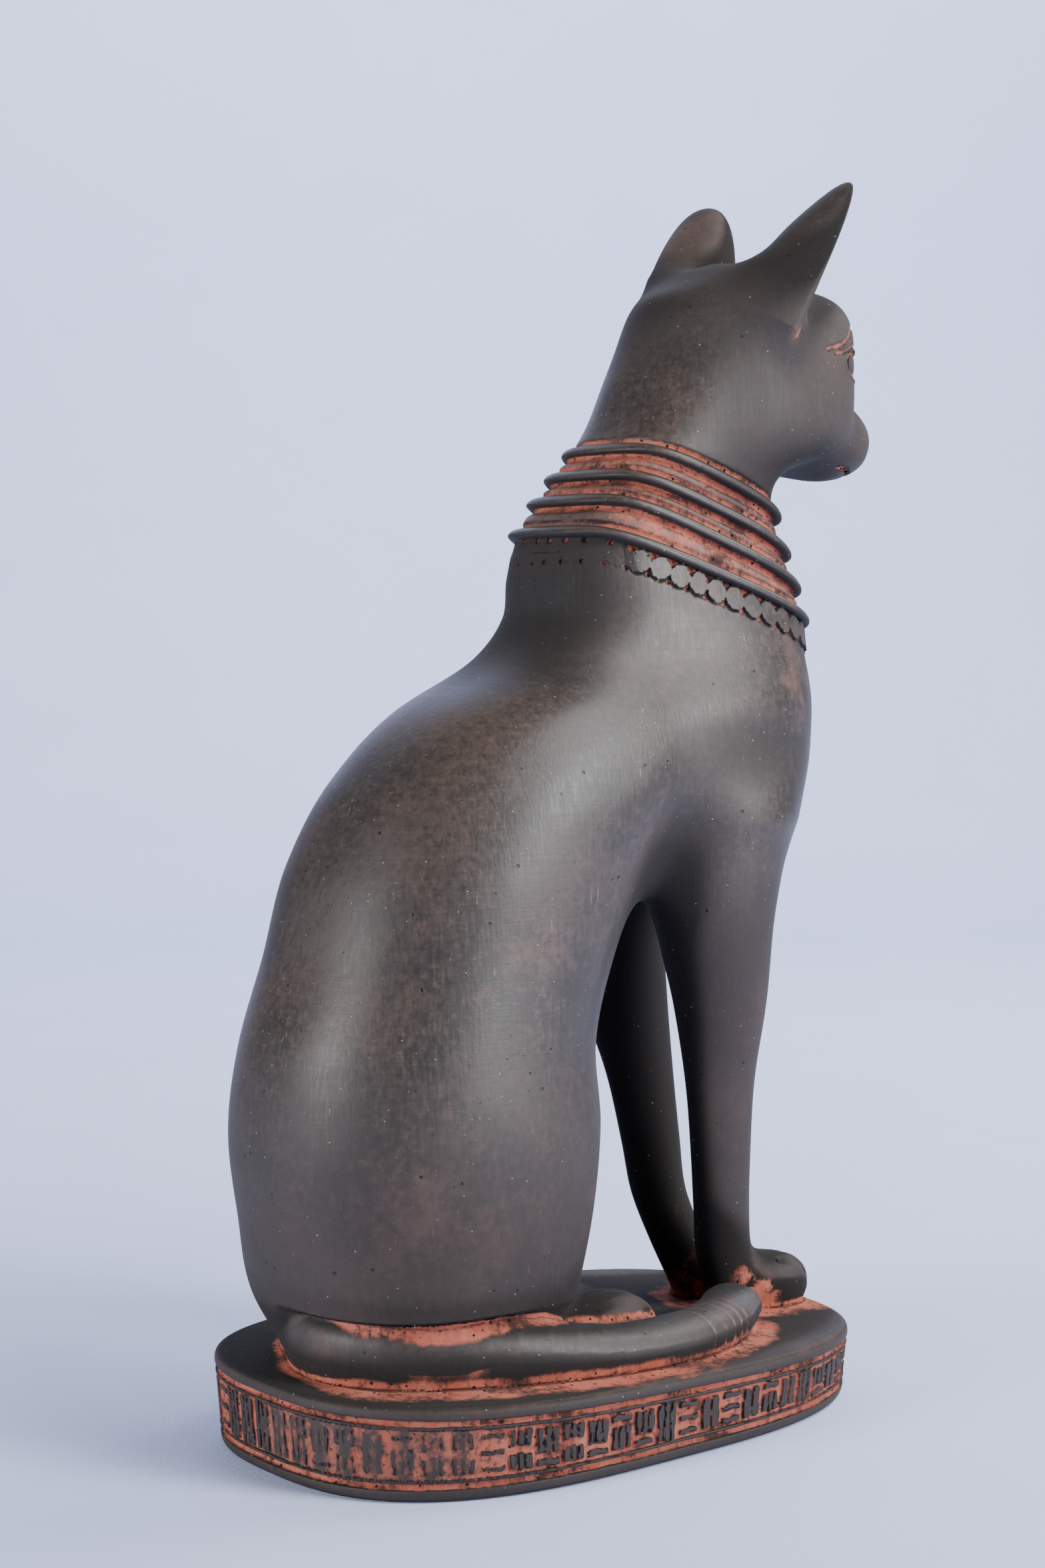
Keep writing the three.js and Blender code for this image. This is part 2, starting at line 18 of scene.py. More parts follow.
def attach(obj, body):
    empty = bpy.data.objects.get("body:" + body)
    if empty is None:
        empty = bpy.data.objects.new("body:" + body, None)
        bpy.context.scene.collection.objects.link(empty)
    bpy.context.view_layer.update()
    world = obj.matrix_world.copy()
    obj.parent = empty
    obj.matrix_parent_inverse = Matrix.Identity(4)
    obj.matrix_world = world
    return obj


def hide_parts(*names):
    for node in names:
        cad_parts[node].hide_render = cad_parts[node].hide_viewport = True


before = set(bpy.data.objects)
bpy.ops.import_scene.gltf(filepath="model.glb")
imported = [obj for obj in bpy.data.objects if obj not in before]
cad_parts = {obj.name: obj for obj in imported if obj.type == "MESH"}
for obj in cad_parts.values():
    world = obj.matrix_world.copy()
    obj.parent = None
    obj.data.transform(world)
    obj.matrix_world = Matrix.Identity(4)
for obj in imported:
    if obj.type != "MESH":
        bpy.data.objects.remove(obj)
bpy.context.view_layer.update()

LOG = logging.getLogger("cat_figure")
Array = np.ndarray
MM = 0.001
PLINTH_TOP = 20.0
FAR = 60.0
NODE = "bastet_cat_on_plinth"


class Mark(Enum):
    """Values kept on the casting's corners for its finish to read."""

    RELIEF = "relief"
    SEAM = "seam"
    STAIN = "stain"
    SHADE = "shade"
    MATTE = "matte_and_shade"


def blend(a: Array, b: Array, width: float) -> Array:
    """Joins two distances with a fillet.

    Args:
        a: The first distance.
        b: The second distance.
        width: How far apart the distances may be and still be rounded.

    Returns:
        The distance to both together.
    """
    near = np.maximum(width - np.abs(a - b), 0.0) / width
    return np.minimum(a, b) - near * near * width * 0.25


def carve(a: Array, b: Array, width: float) -> Array:
    """Cuts distance b out of distance a, rounded over width."""
    return -blend(-a, b, width)


def ease(value: Array, low: float, high: float) -> Array:
    """Goes smoothly from 0 at low to 1 at high."""
    share = np.clip((value - low) / (high - low), 0.0, 1.0)
    return share * share * (3.0 - 2.0 * share)


def egg(x: Array, y: Array, z: Array, centre: tuple, radii: tuple) -> Array:
    """Measures, nearly, the distance to an ellipsoid.

    Args:
        x: Sideways positions.
        y: Positions along the cat.
        z: Heights.
        centre: The ellipsoid's middle.
        radii: Its half axes.

    Returns:
        The signed distances.
    """
    u, v, w = ((q - c) / r for q, c, r in zip((x, y, z), centre, radii))
    near = np.sqrt(u * u + v * v + w * w)
    far = np.sqrt((u / radii[0]) ** 2 + (v / radii[1]) ** 2 + (w / radii[2]) ** 2)
    return near * (near - 1.0) / np.maximum(far, 1e-6)


def along_line(x: Array, y: Array, z: Array, points: tuple) -> Array:
    """Measures the distance to a line of straight links.

    Args:
        x: Sideways positions.
        y: Positions along the cat.
        z: Heights.
        points: The corners of the line.

    Returns:
        The distances.
    """
    nearest = np.full(x.shape, np.inf)
    for start, end in zip(points[:-1], points[1:]):
        a = np.array(start, float)
        d = np.array(end, float) - a
        t = ((x - a[0]) * d[0] + (y - a[1]) * d[1] + (z - a[2]) * d[2]) / (d @ d)
        t = np.clip(t, 0.0, 1.0)
        gap = (x - a[0] - t * d[0]) ** 2 + (y - a[1] - t * d[1]) ** 2
        nearest = np.minimum(nearest, gap + (z - a[2] - t * d[2]) ** 2)
    return np.sqrt(nearest)


def only_where(near: Array, base: Array, work: callable, *values: Array) -> Array:
    """Applies a step of carving to the points that it can reach.

    Args:
        near: Which points the step can reach.
        base: The distance before the step.
        work: Takes the distance and the values at those points.
        values: What else the step reads.

    Returns:
        The distance after the step.
    """
    out = base.copy()
    if near.any():
        out[near] = work(base[near], *(v[near] for v in values))
    return out


class Stations:
    """Smooth curves through the rows of a table that is led by its heights."""

    def __init__(self, rows: tuple) -> None:
        """Works out the slopes of the curves.

        Args:
            rows: Each a height and the values there.
        """
        table = np.array(rows, float)
        self.knots = table[:, 0]
        self.values = table[:, 1:]
        gap = np.diff(self.knots)[:, None]
        rise = np.diff(self.values, axis=0) / gap
        self.slopes = np.vstack([rise[:1], rise[:1], rise[1:]])
        inner = (rise[1:] * gap[:-1] + rise[:-1] * gap[1:]) / (gap[:-1] + gap[1:])
        self.slopes[1:-1] = inner

    def at(self, height: Array) -> list:
        """Reads every curve, flat beyond the table's ends.

        Args:
            height: The heights to read at.

        Returns:
            The values of each curve at the heights.
        """
        u = np.clip(height, self.knots[0], self.knots[-1])
        i = np.searchsorted(self.knots, u, side="right") - 1
        i = np.clip(i, 0, len(self.knots) - 2)
        h = self.knots[i + 1] - self.knots[i]
        t = (u - self.knots[i]) / h
        s = 1.0 - t
        start = s * s * (1.0 + 2.0 * t)
        end = t * t * (3.0 - 2.0 * t)
        leave = t * s * s * h
        arrive = t * t * s * h
        values, slopes = self.values, self.slopes
        return [
            start * values[i, c] + end * values[i + 1, c] + leave * slopes[i, c] - arrive * slopes[i + 1, c]
            for c in range(values.shape[1])
        ]


@dataclass(frozen=True)
class Trunk:
    """Haunches, back, chest, neck and nape, in level sections above the plinth."""

    # height, half width, back, front, squareness
    sections: tuple = (
        (-6, 31, 61, 7.5, 2.5), (6, 34.5, 68.5, 5, 2.5), (16, 37.5, 74.5, 2.5, 2.4),
        (36, 40, 79, -3, 2.3), (56, 40.5, 81.5, -5.5, 2.3), (76, 38.5, 79, -5, 2.3),
        (96, 37, 72, -11, 2.4), (119, 36.5, 65, -24.5, 2.4), (138, 35.5, 53, -44.5, 2.4),
        (154, 32, 35, -63, 2.5), (166, 27, 12, -70.5, 2.7), (176, 26, 2, -75, 2.9),
        (186, 25, 0.5, -73.5, 3), (198, 23, -3, -69.5, 3), (210, 21, -12.5, -67.5, 3),
        (224, 20.5, -24.5, -67.5, 2.8), (237, 19.5, -32.5, -69.5, 2.5),
        (252, 16.5, -46, -67, 2.4), (266, 10, -56.5, -60, 2.3),
    )
    top: float = 268.0
    breast_centre: tuple = (0, -48, 147)
    breast_radii: tuple = (29.5, 35, 33)
    valley_centre: tuple = (0, -19, 32)
    valley_radii: tuple = (7, 15, 46)
    crown_fillet: float = 10.0
    breast_fillet: float = 16.0
    valley_fillet: float = 14.0
    ledge_height: float = 17.5
    ledge_depth: float = 3.0
    ledge_fall: float = 2.0
    ledge_run: tuple = (0.0, 45.0)

    def distance(self, x: Array, y: Array, z: Array) -> Array:
        """Measures to the trunk, with its breast and the valley between the thighs.

        Args:
            x: Sideways positions.
            y: Positions along the cat.
            z: Heights above the plinth.

        Returns:
            The distances.
        """
        half, back, front, square = Stations(self.sections).at(z)
        depth = np.maximum((back - front) / 2.0, 2.0)
        across = (np.abs(x) / half) ** square
        along = (np.abs(y - (back + front) / 2.0) / depth) ** square
        k = (across + along + 1e-12) ** (1.0 / square)
        body = -blend(-(k - 1.0) * np.minimum(half, depth) * 0.9, self.top - z, self.crown_fillet)
        body = blend(body, egg(x, y, z, self.breast_centre, self.breast_radii), self.breast_fillet)
        body = carve(body, egg(x, y, z, self.valley_centre, self.valley_radii), self.valley_fillet)
        return body + only_where((z < 24.0) & (x < 6.0), np.zeros(x.shape), self.undercut, x, y, z)

    def undercut(self, none: Array, x: Array, y: Array, z: Array) -> Array:
        """Gives how far the right haunch is drawn in under its ledge, over the tail.

        Args:
            none: Zeros, for where nothing is drawn in.
            x: Sideways positions.
            y: Positions along the cat.
            z: Heights above the plinth.

        Returns:
            The depths.
        """
        rear = ease(y, *self.ledge_run)
        ledge = self.ledge_height - self.ledge_fall + self.ledge_fall * rear
        below = 1.0 - ease(z, ledge - 1.0, ledge + 1.0)
        return none + self.ledge_depth * rear * ease(-x, -6.0, 6.0) * below


@dataclass(frozen=True)
class Foreleg:
    """A foreleg as level ovals, with its paw."""

    # height, sideways, forward, half width, half depth
    sections: tuple = (
        (0, 6.5, -59.5, 6, 8), (14, 9, -53.5, 6, 8), (26, 12, -50, 6, 8),
        (40, 13.5, -48.4, 5.7, 8.9), (58, 15.5, -46.4, 5.8, 10.5), (80, 19, -43.2, 8.7, 13.8),
        (102, 21, -39.7, 12, 17), (126, 20, -43.5, 15, 19),
    )
    top: float = 136.0
    paw_centre: tuple = (9.5, -69.3, 2.9)
    paw_radii: tuple = (8.4, 11.6, 8.4)
    toe_gaps: tuple = (4.6, 9.5, 14.2)
    toe_depth: float = 0.9
    toe_half: float = 0.8
    toe_start: float = -72.0
    toe_run: float = 8.0
    top_fillet: float = 12.0

    def leg(self, side: Array, y: Array, z: Array) -> Array:
        """Measures to the leg above its paw.

        Args:
            side: Distance from the middle plane.
            y: Positions along the cat.
            z: Heights above the plinth.

        Returns:
            The distances.
        """
        middle, forward, half, depth = Stations(self.sections).at(z)
        k = np.hypot((side - middle) / half, (y - forward) / depth)
        return -blend(-(k - 1.0) * np.minimum(half, depth), self.top - z, self.top_fillet)

    def paw(self, side: Array, y: Array, z: Array) -> Array:
        """Measures to the paw, with the shallow clefts between its toes.

        Args:
            side: Distance from the middle plane.
            y: Positions along the cat.
            z: Heights above the plinth.

        Returns:
            The distances.
        """
        paw = egg(side, y, z, self.paw_centre, self.paw_radii)
        for gap in self.toe_gaps:
            reach = np.clip((self.toe_start - y) / self.toe_run, 0.0, 1.0)
            depth = 0.2 + self.toe_depth * reach
            cleft = np.hypot((side - gap) / self.toe_half, np.maximum(paw, -3.0) / depth) - 1.0
            paw = carve(paw, cleft * 0.6, 0.8)
        return paw


@dataclass(frozen=True)
class Head:
    """Skull, cheeks, chin and muzzle, with the face's eyes and fine lines."""

    half: float = 25.0
    length: float = 32.5
    height: float = 22.5
    square: float = 4.2
    centre: tuple = (0, -68.5, 238)
    chin_centre: tuple = (0, -92, 219.5)
    chin_radii: tuple = (9.5, 16, 5)
    muzzle_centre: tuple = (0, -97.5, 223.5)
    muzzle_radii: tuple = (10, 14.4, 10)
    eye_centre: tuple = (16.2, -92.3, 241.4)
    eye_along: tuple = (0.6, 0.76, 0.04)
    eye_half: float = 8.5
    eye_open: float = 3.3
    ball: float = 4.4
    ball_proud: float = 1.05
    socket_depth: float = 1.1
    lid_proud: float = 0.2
    lid_half: float = 0.45
    nostril_centre: tuple = (3.4, -111.2, 224.6)
    nostril_radii: tuple = (1.4, 1.8, 1.0)
    chin_fillet: float = 8.0
    muzzle_fillet: float = 5.0
    face_front: float = -70.0
    line_half: float = 0.52
    line_depths: tuple = (0.75, 0.7, 1.3, 0.6)
    # lines of the face: brow, upper lid, mouth, lip
    lines: tuple = (
        ((24.3, -75.5, 244.3), (23.5, -79.5, 245.1), (22.2, -83.2, 246.1), (20.1, -87.2, 248.4),
         (18.1, -90, 250.2), (15.6, -92.8, 251.4), (10.5, -97, 250.6), (6.5, -99.3, 246), (4.8, -101, 239.5)),
        ((23.6, -78.8, 243.4), (22.3, -83.1, 243.9), (20, -87.8, 245.4), (18.7, -89.9, 246.2),
         (14.6, -93.4, 246.6), (10, -97.2, 243.6)),
        ((9.4, -94, 216), (8.2, -98, 215.4), (5.5, -101.3, 214.8), (2.8, -102.6, 214.5), (0, -103, 214.4)),
        ((0, -103, 214.4), (0, -109.4, 217.4), (0, -112, 222.6)),
    )

    def distance(self, x: Array, y: Array, z: Array) -> Array:
        """Measures to the plain form of the head.

        Args:
            x: Sideways positions.
            y: Positions along the cat.
            z: Heights above the plinth.

        Returns:
            The distances.
        """
        n = self.square
        flat = np.hypot(x / self.half, (y - self.centre[1]) / self.length) ** n
        tall = (np.abs(z - self.centre[2]) / self.height) ** n
        skull = ((flat + tall + 1e-12) ** (1.0 / n) - 1.0) * self.height
        skull = blend(skull, egg(x, y, z, self.chin_centre, self.chin_radii), self.chin_fillet)
        return blend(skull, egg(x, y, z, self.muzzle_centre, self.muzzle_radii), self.muzzle_fillet)

    def settled_lines(self) -> tuple:
        """Moves points along each line of the face onto the head's surface.

        Returns:
            The moved lines, each as rows of points.
        """
        settled = []
        steps = np.eye(3)[:, :, None] * 0.1
        for line in self.lines:
            rough = np.array(line, float)
            shares = np.linspace(0.0, len(rough) - 1.0, 2 * len(rough) - 1)
            p = np.stack([np.interp(shares, np.arange(len(rough)), c) for c in rough.T])
            for _ in range(6):
                gap = self.distance(*p)
                slope = np.stack([self.distance(*(p + s)) - self.distance(*(p - s)) for s in steps])
                p = p - gap * slope / np.maximum(np.linalg.norm(slope, axis=0) ** 2, 1e-9) * 0.2
            settled.append(p.T)
        return tuple(settled)

    def eye(self, side: Array, y: Array, z: Array) -> tuple:
        """Works out the eye.

        Args:
            side: Distance from the middle plane.
            y: Positions along the cat.
            z: Heights above the plinth.

        Returns:
            How far the surface sinks at the eye and rises at its lids, and the
            way outside the eye's outline.
        """
        a = np.array(self.eye_along) / np.linalg.norm(self.eye_along)
        c = self.eye_centre
        u = (side - c[0]) * a[0] + (y - c[1]) * a[1] + (z - c[2]) * a[2]
        v = (z - c[2]) / np.sqrt(1.0 - a[2] ** 2) - a[2] * u
        edge = (np.hypot(u / self.eye_half, v / self.eye_open) - 1.0) * self.eye_open
        inside = np.clip(0.5 - edge / 0.5, 0.0, 1.0)
        bulge = np.clip(1.0 - (u * u + v * v) / self.ball ** 2, 0.0, 1.0)
        sunk = inside * (self.socket_depth - self.ball_proud * np.sqrt(bulge))
        return sunk - self.lid_proud * np.exp(-((edge - 0.6) / self.lid_half) ** 2), edge

    def face(self, d: Array, side: Array, y: Array, z: Array, lines: tuple) -> Array:
        """Works the eyes, brows, nostrils and mouth into the head.

        Args:
            d: The distance before.
            side: Distance from the middle plane.
            y: Positions along the cat.
            z: Heights above the plinth.
            lines: The settled lines of the face.

        Returns:
            The distance with the face in it.
        """
        d = d + np.where(y < self.face_front, self.eye(side, y, z)[0], 0.0)
        for line, depth in zip(lines, self.line_depths):
            across = along_line(side, y, z, line) / self.line_half
            d = d + depth * np.exp(-across * across)
        return carve(d, egg(side, y, z, self.nostril_centre, self.nostril_radii), 0.6)


@dataclass(frozen=True)
class Ear:
    """A pricked ear: a cup that is hollow in front."""

    root: tuple = (17.4, -64.9, 248.2)
    tip: tuple = (27, -81.2, 285.9)
    inner_to_outer: tuple = (0.922, 0.38, -0.069)
    width: float = 19.0
    bulge: float = 11.5
    root_cut: float = 0.28
    tip_end: float = 0.992
    root_end: float = -0.5
    hollow_centre: tuple = (0, 2.4, 17.5)
    hollow_radii: tuple = (9.2, 6.6, 17.5)

    def axes(self) -> tuple:
        """Works out the ear's own directions.

        Returns:
            The root, the length, and the ways along, across and forward.
        """
        root, tip, across = (np.array(p, float) for p in (self.root, self.tip, self.inner_to_outer))
        length = np.linalg.norm(tip - root)
        along = (tip - root) / length
        across = across - (across @ along) * along
        across = across / np.linalg.norm(across)
        forward = np.cross(along, across)
        return root, length, along, across, forward * (-1.0 if forward[1] > 0 else 1.0)

    def distance(self, side: Array, y: Array, z: Array) -> tuple:
        """Measures to the ear's outer form and to the hollow in its front.

        Args:
            side: Distance from the middle plane.
            y: Positions along the cat.
            z: Heights above the plinth.

        Returns:
            The distances to the form and to the hollow.
        """
        root, length, along, across, forward = self.axes()
        dx, dy, dz = side - root[0], y - root[1], z - root[2]
        up, wide_at, out = (dx * a[0] + dy * a[1] + dz * a[2] for a in (along, across, forward))
        share = up / length
        fall = 1.0 - np.clip(share, self.root_end, self.tip_end)
        dive = np.clip((1.5 - fall) / 0.5, 0.2, 1.0)
        wide = self.width * fall ** 0.43 * (1.0 - 0.31 * fall) * dive
        cut = 1.0 - self.root_cut * ease(fall, 0.3, 1.05)
        thick = self.bulge * np.sqrt(fall) * (1.0 + 0.83 * fall) * dive * cut
        form = (np.hypot(wide_at / wide, out / thick) - 1.0) * np.minimum(wide, thick)
        form = -blend(-form, -out, 2.0)
        form = np.maximum(form, np.maximum(share - self.tip_end, self.root_end - share) * length)
        return form, egg(wide_at, out, up, self.hollow_centre, self.hollow_radii)


@dataclass(frozen=True)
class Tail:
    """The tail, laid round the right haunch on the plinth."""

    # the line of its middle, from the rump to the curl behind the paw
    path: tuple = (
        (8, 60.5, 9.5), (-1, 64.5, 9.5), (-10.5, 64.5, 9.5), (-19.7, 60.2, 9.5), (-26.4, 49.5, 8.6),
        (-32, 36, 7), (-35.6, 22, 5.4), (-37.7, 8, 4.1), (-38.1, -7, 3.8), (-36, -19.7, 3.7),
        (-30.7, -32.6, 3.6), (-21.2, -44.7, 3.2),
    )
    root_radius: float = 9.3
    end_radius: float = 7.8
    bed: float = 2.2
    links: int = 22
    scored: tuple = (0.795, 0.8215, 0.8525, 0.873, 0.898)
    scored_half: float = 0.42
    scored_depth: float = 0.25

    def points(self) -> Array:
        """Works out the smooth path.

        Returns:
            Its points, one more than its links.
        """
        knots = np.array(self.path, float)
        steps = np.sqrt(np.linalg.norm(np.diff(knots, axis=0), axis=1))
        places = np.concatenate([[0.0], np.cumsum(steps)])
        rows = tuple((p, *q) for p, q in zip(places, knots))
        shares = np.linspace(0.0, len(knots) - 1.0, self.links + 1)
        at = np.interp(shares, np.arange(len(knots)), places)
        return np.stack(Stations(rows).at(at), axis=-1)

    def distance(self, x: Array, y: Array, z: Array) -> Array:
        """Measures to the tail with the lines scored across it."""
        nearest, score = self.follow(x, y, z)
        return nearest + self.scored_depth * score

    def follow(self, x: Array, y: Array, z: Array) -> tuple:
        """Follows the tail, whose section is a low oval.

        Args:
            x: Sideways positions.
            y: Positions along the cat.
            z: Heights above the plinth.

        Returns:
            The distances to the plain tail, and 1 on a scored line and 0 away from it.
        """
        points = self.points()
        nearest = np.full(x.shape, np.inf)
        shares = np.zeros(x.shape)
        for i in range(self.links):
            a = points[i]
            d = points[i + 1] - a
            t = np.clip(((x - a[0]) * d[0] + (y - a[1]) * d[1]) / (d[0] ** 2 + d[1] ** 2), 0.0, 1.0)
            share = (i + t) / self.links
            radius = self.root_radius + (self.end_radius - self.root_radius) * share
            level = a[2] + t * d[2]
            rise = (z - level) * radius / (level + self.bed)
            gap = np.sqrt((x - a[0] - t * d[0]) ** 2 + (y - a[1] - t * d[1]) ** 2 + rise ** 2) - radius
            shares = np.where(gap < nearest, share, shares)
            nearest = np.minimum(nearest, gap)
        length = np.linalg.norm(np.diff(points, axis=0), axis=1).sum()
        score = np.zeros(x.shape)
        for place in self.scored:
            across = (shares - place) * length / self.scored_half
            score = np.maximum(score, np.exp(-across * across))
        return nearest, score


@dataclass(frozen=True)
class Collar:
    """Four beads round the neck, the strips between them and the hanging discs."""

    # height at the back, where the bead begins to fall, fall per unit
    rings: tuple = ((218.3, -21, 0.362), (211.7, -16, 0.36), (205.3, -12, 0.36), (197.4, -6, 0.325))
    bead_half: float = 1.45
    bead_proud: float = 1.5
    groove_depth: float = 0.85
    knee_round: float = 9.0
    # middle below or above the bead, and half height, of the strips beside it
    strip_under: tuple = (2.15, 0.95)
    strip_over: tuple = (1.9, 0.8)
    axis_y: float = -36.0
    disc_radius: float = 3.0
    disc_drop: float = 4.75
    disc_pitch: float = 5.8
    disc_proud: float = 0.5
    disc_limit: float = -10.5
    ground_middle: float = 3.0
    ground_half: float = 1.9
    # height from the discs' row and radius
    pits: tuple = ((2.75, 0.75), (-2.55, 0.55))

    def above(self, ring: tuple, y: Array, z: Array) -> Array:
        """Gives how far points lie above a bead, square to it.

        Args:
            ring: The bead's row of `rings`.
            y: Positions along the cat.
            z: Heights above the plinth.

        Returns:
            The heights above the bead's middle.
        """
        level, knee, fall = ring
        ahead = knee - y
        reach = np.sqrt(ahead * ahead + self.knee_round)
        height = level - fall / 2.0 * (reach + ahead)
        slope = fall / 2.0 * (ahead / reach + 1.0)
        return (z - height) / np.sqrt(1.0 + slope * slope)

    def arc(self, figure: "Cat") -> tuple:
        """Measures the run of the disc row round the neck.

        Args:
            figure: The cat whose neck carries the collar.

        Returns:
            Angles from the front and the length run by each.
        """
        turn = np.linspace(0.0, math.pi, 181)
        near, far = np.full(turn.shape, 5.0), np.full(turn.shape, 60.0)
        for _ in range(24):
            reach = (near + far) / 2.0
            x, y = reach * np.sin(turn), self.axis_y - reach * np.cos(turn)
            level, knee, fall = self.rings[-1]
            bend = np.sqrt((knee - y) ** 2 + self.knee_round)
            z = level - self.disc_drop - fall / 2.0 * (bend + knee - y)
            inside = figure.plain(x, y, z) < 0.0
            near, far = np.where(inside, reach, near), np.where(inside, far, reach)
        step = np.sqrt(np.diff(x) ** 2 + np.diff(y) ** 2 + np.diff(z) ** 2)
        return turn, np.concatenate([[0.0], np.cumsum(step)])

    def carve(self, d: Array, x: Array, y: Array, z: Array, arc: tuple) -> Array:
        """Works the collar into the neck.

        Args:
            d: The distance to the plain neck.
            x: Sideways positions.
            y: Positions along the cat.
            z: Heights above the plinth.
            arc: The run of the disc row, from `arc`.

        Returns:
            The distance with the collar in it.
        """
        plain = d
        rear = np.clip((y + 14.0) / 16.0, 0.0, 1.0)
        for index, ring in enumerate(self.rings):
            h = self.above(ring, y, z)
            depth = self.groove_depth * (1.0 - 0.45 * rear)
            if index + 1 < len(self.rings):
                under = np.hypot((h + self.strip_under[0]) / self.strip_under[1], plain / depth) - 1.0
                d = carve(d, under * 0.7, 0.7)
            over = np.hypot((h - self.strip_over[0]) / self.strip_over[1], plain / (depth * 0.6)) - 1.0
            d = carve(d, over * 0.5, 0.6)
        h = self.above(self.rings[-1], y, z)
        v = h + self.disc_drop
        _, knee, fall = self.rings[-1]
        ahead = knee - y
        slant = fall / 2.0 * (ahead / np.sqrt(ahead * ahead + self.knee_round) + 1.0)
        run = np.interp(np.arctan2(np.abs(x), self.axis_y - y), *arc) + slant * v
        u = np.mod(run, self.disc_pitch) - self.disc_pitch / 2.0
        rho = np.hypot(u, v)
        front = np.clip((self.disc_limit - y) / 1.5, 0.0, 1.0)
        ground = np.maximum(np.abs(h + self.ground_middle) - self.ground_half, -plain - 0.5 * front)
        d = carve(d, ground, 0.4)
        rim = np.hypot(rho - self.disc_radius - 0.1, plain / 0.8) - 0.3 * front
        d = carve(d, np.where(h < -1.0, rim, 9.0), 0.3)
        disc = np.maximum(rho - self.disc_radius, plain - self.disc_proud * front)
        disc = np.maximum(disc, -plain - 2.0)
        d = np.where(front > 0.0, blend(d, disc, 0.4), d)
        between = np.abs(np.abs(u) - self.disc_pitch / 2.0)
        for height, radius in self.pits:
            pit = np.sqrt(between ** 2 + (v - height) ** 2 + (plain * 0.8) ** 2) - radius
            d = carve(d, pit, 0.3)
        for ring in self.rings:
            h = self.above(ring, y, z)
            bead = (np.hypot(h / self.bead_half, plain / self.bead_proud) - 1.0) * self.bead_half
            d = blend(d, bead, 0.5)
        return d


@dataclass(frozen=True)
class Fitted:
    """What is worked out once from the plain form: the disc row's run and the face's lines."""

    arc: tuple
    lines: tuple


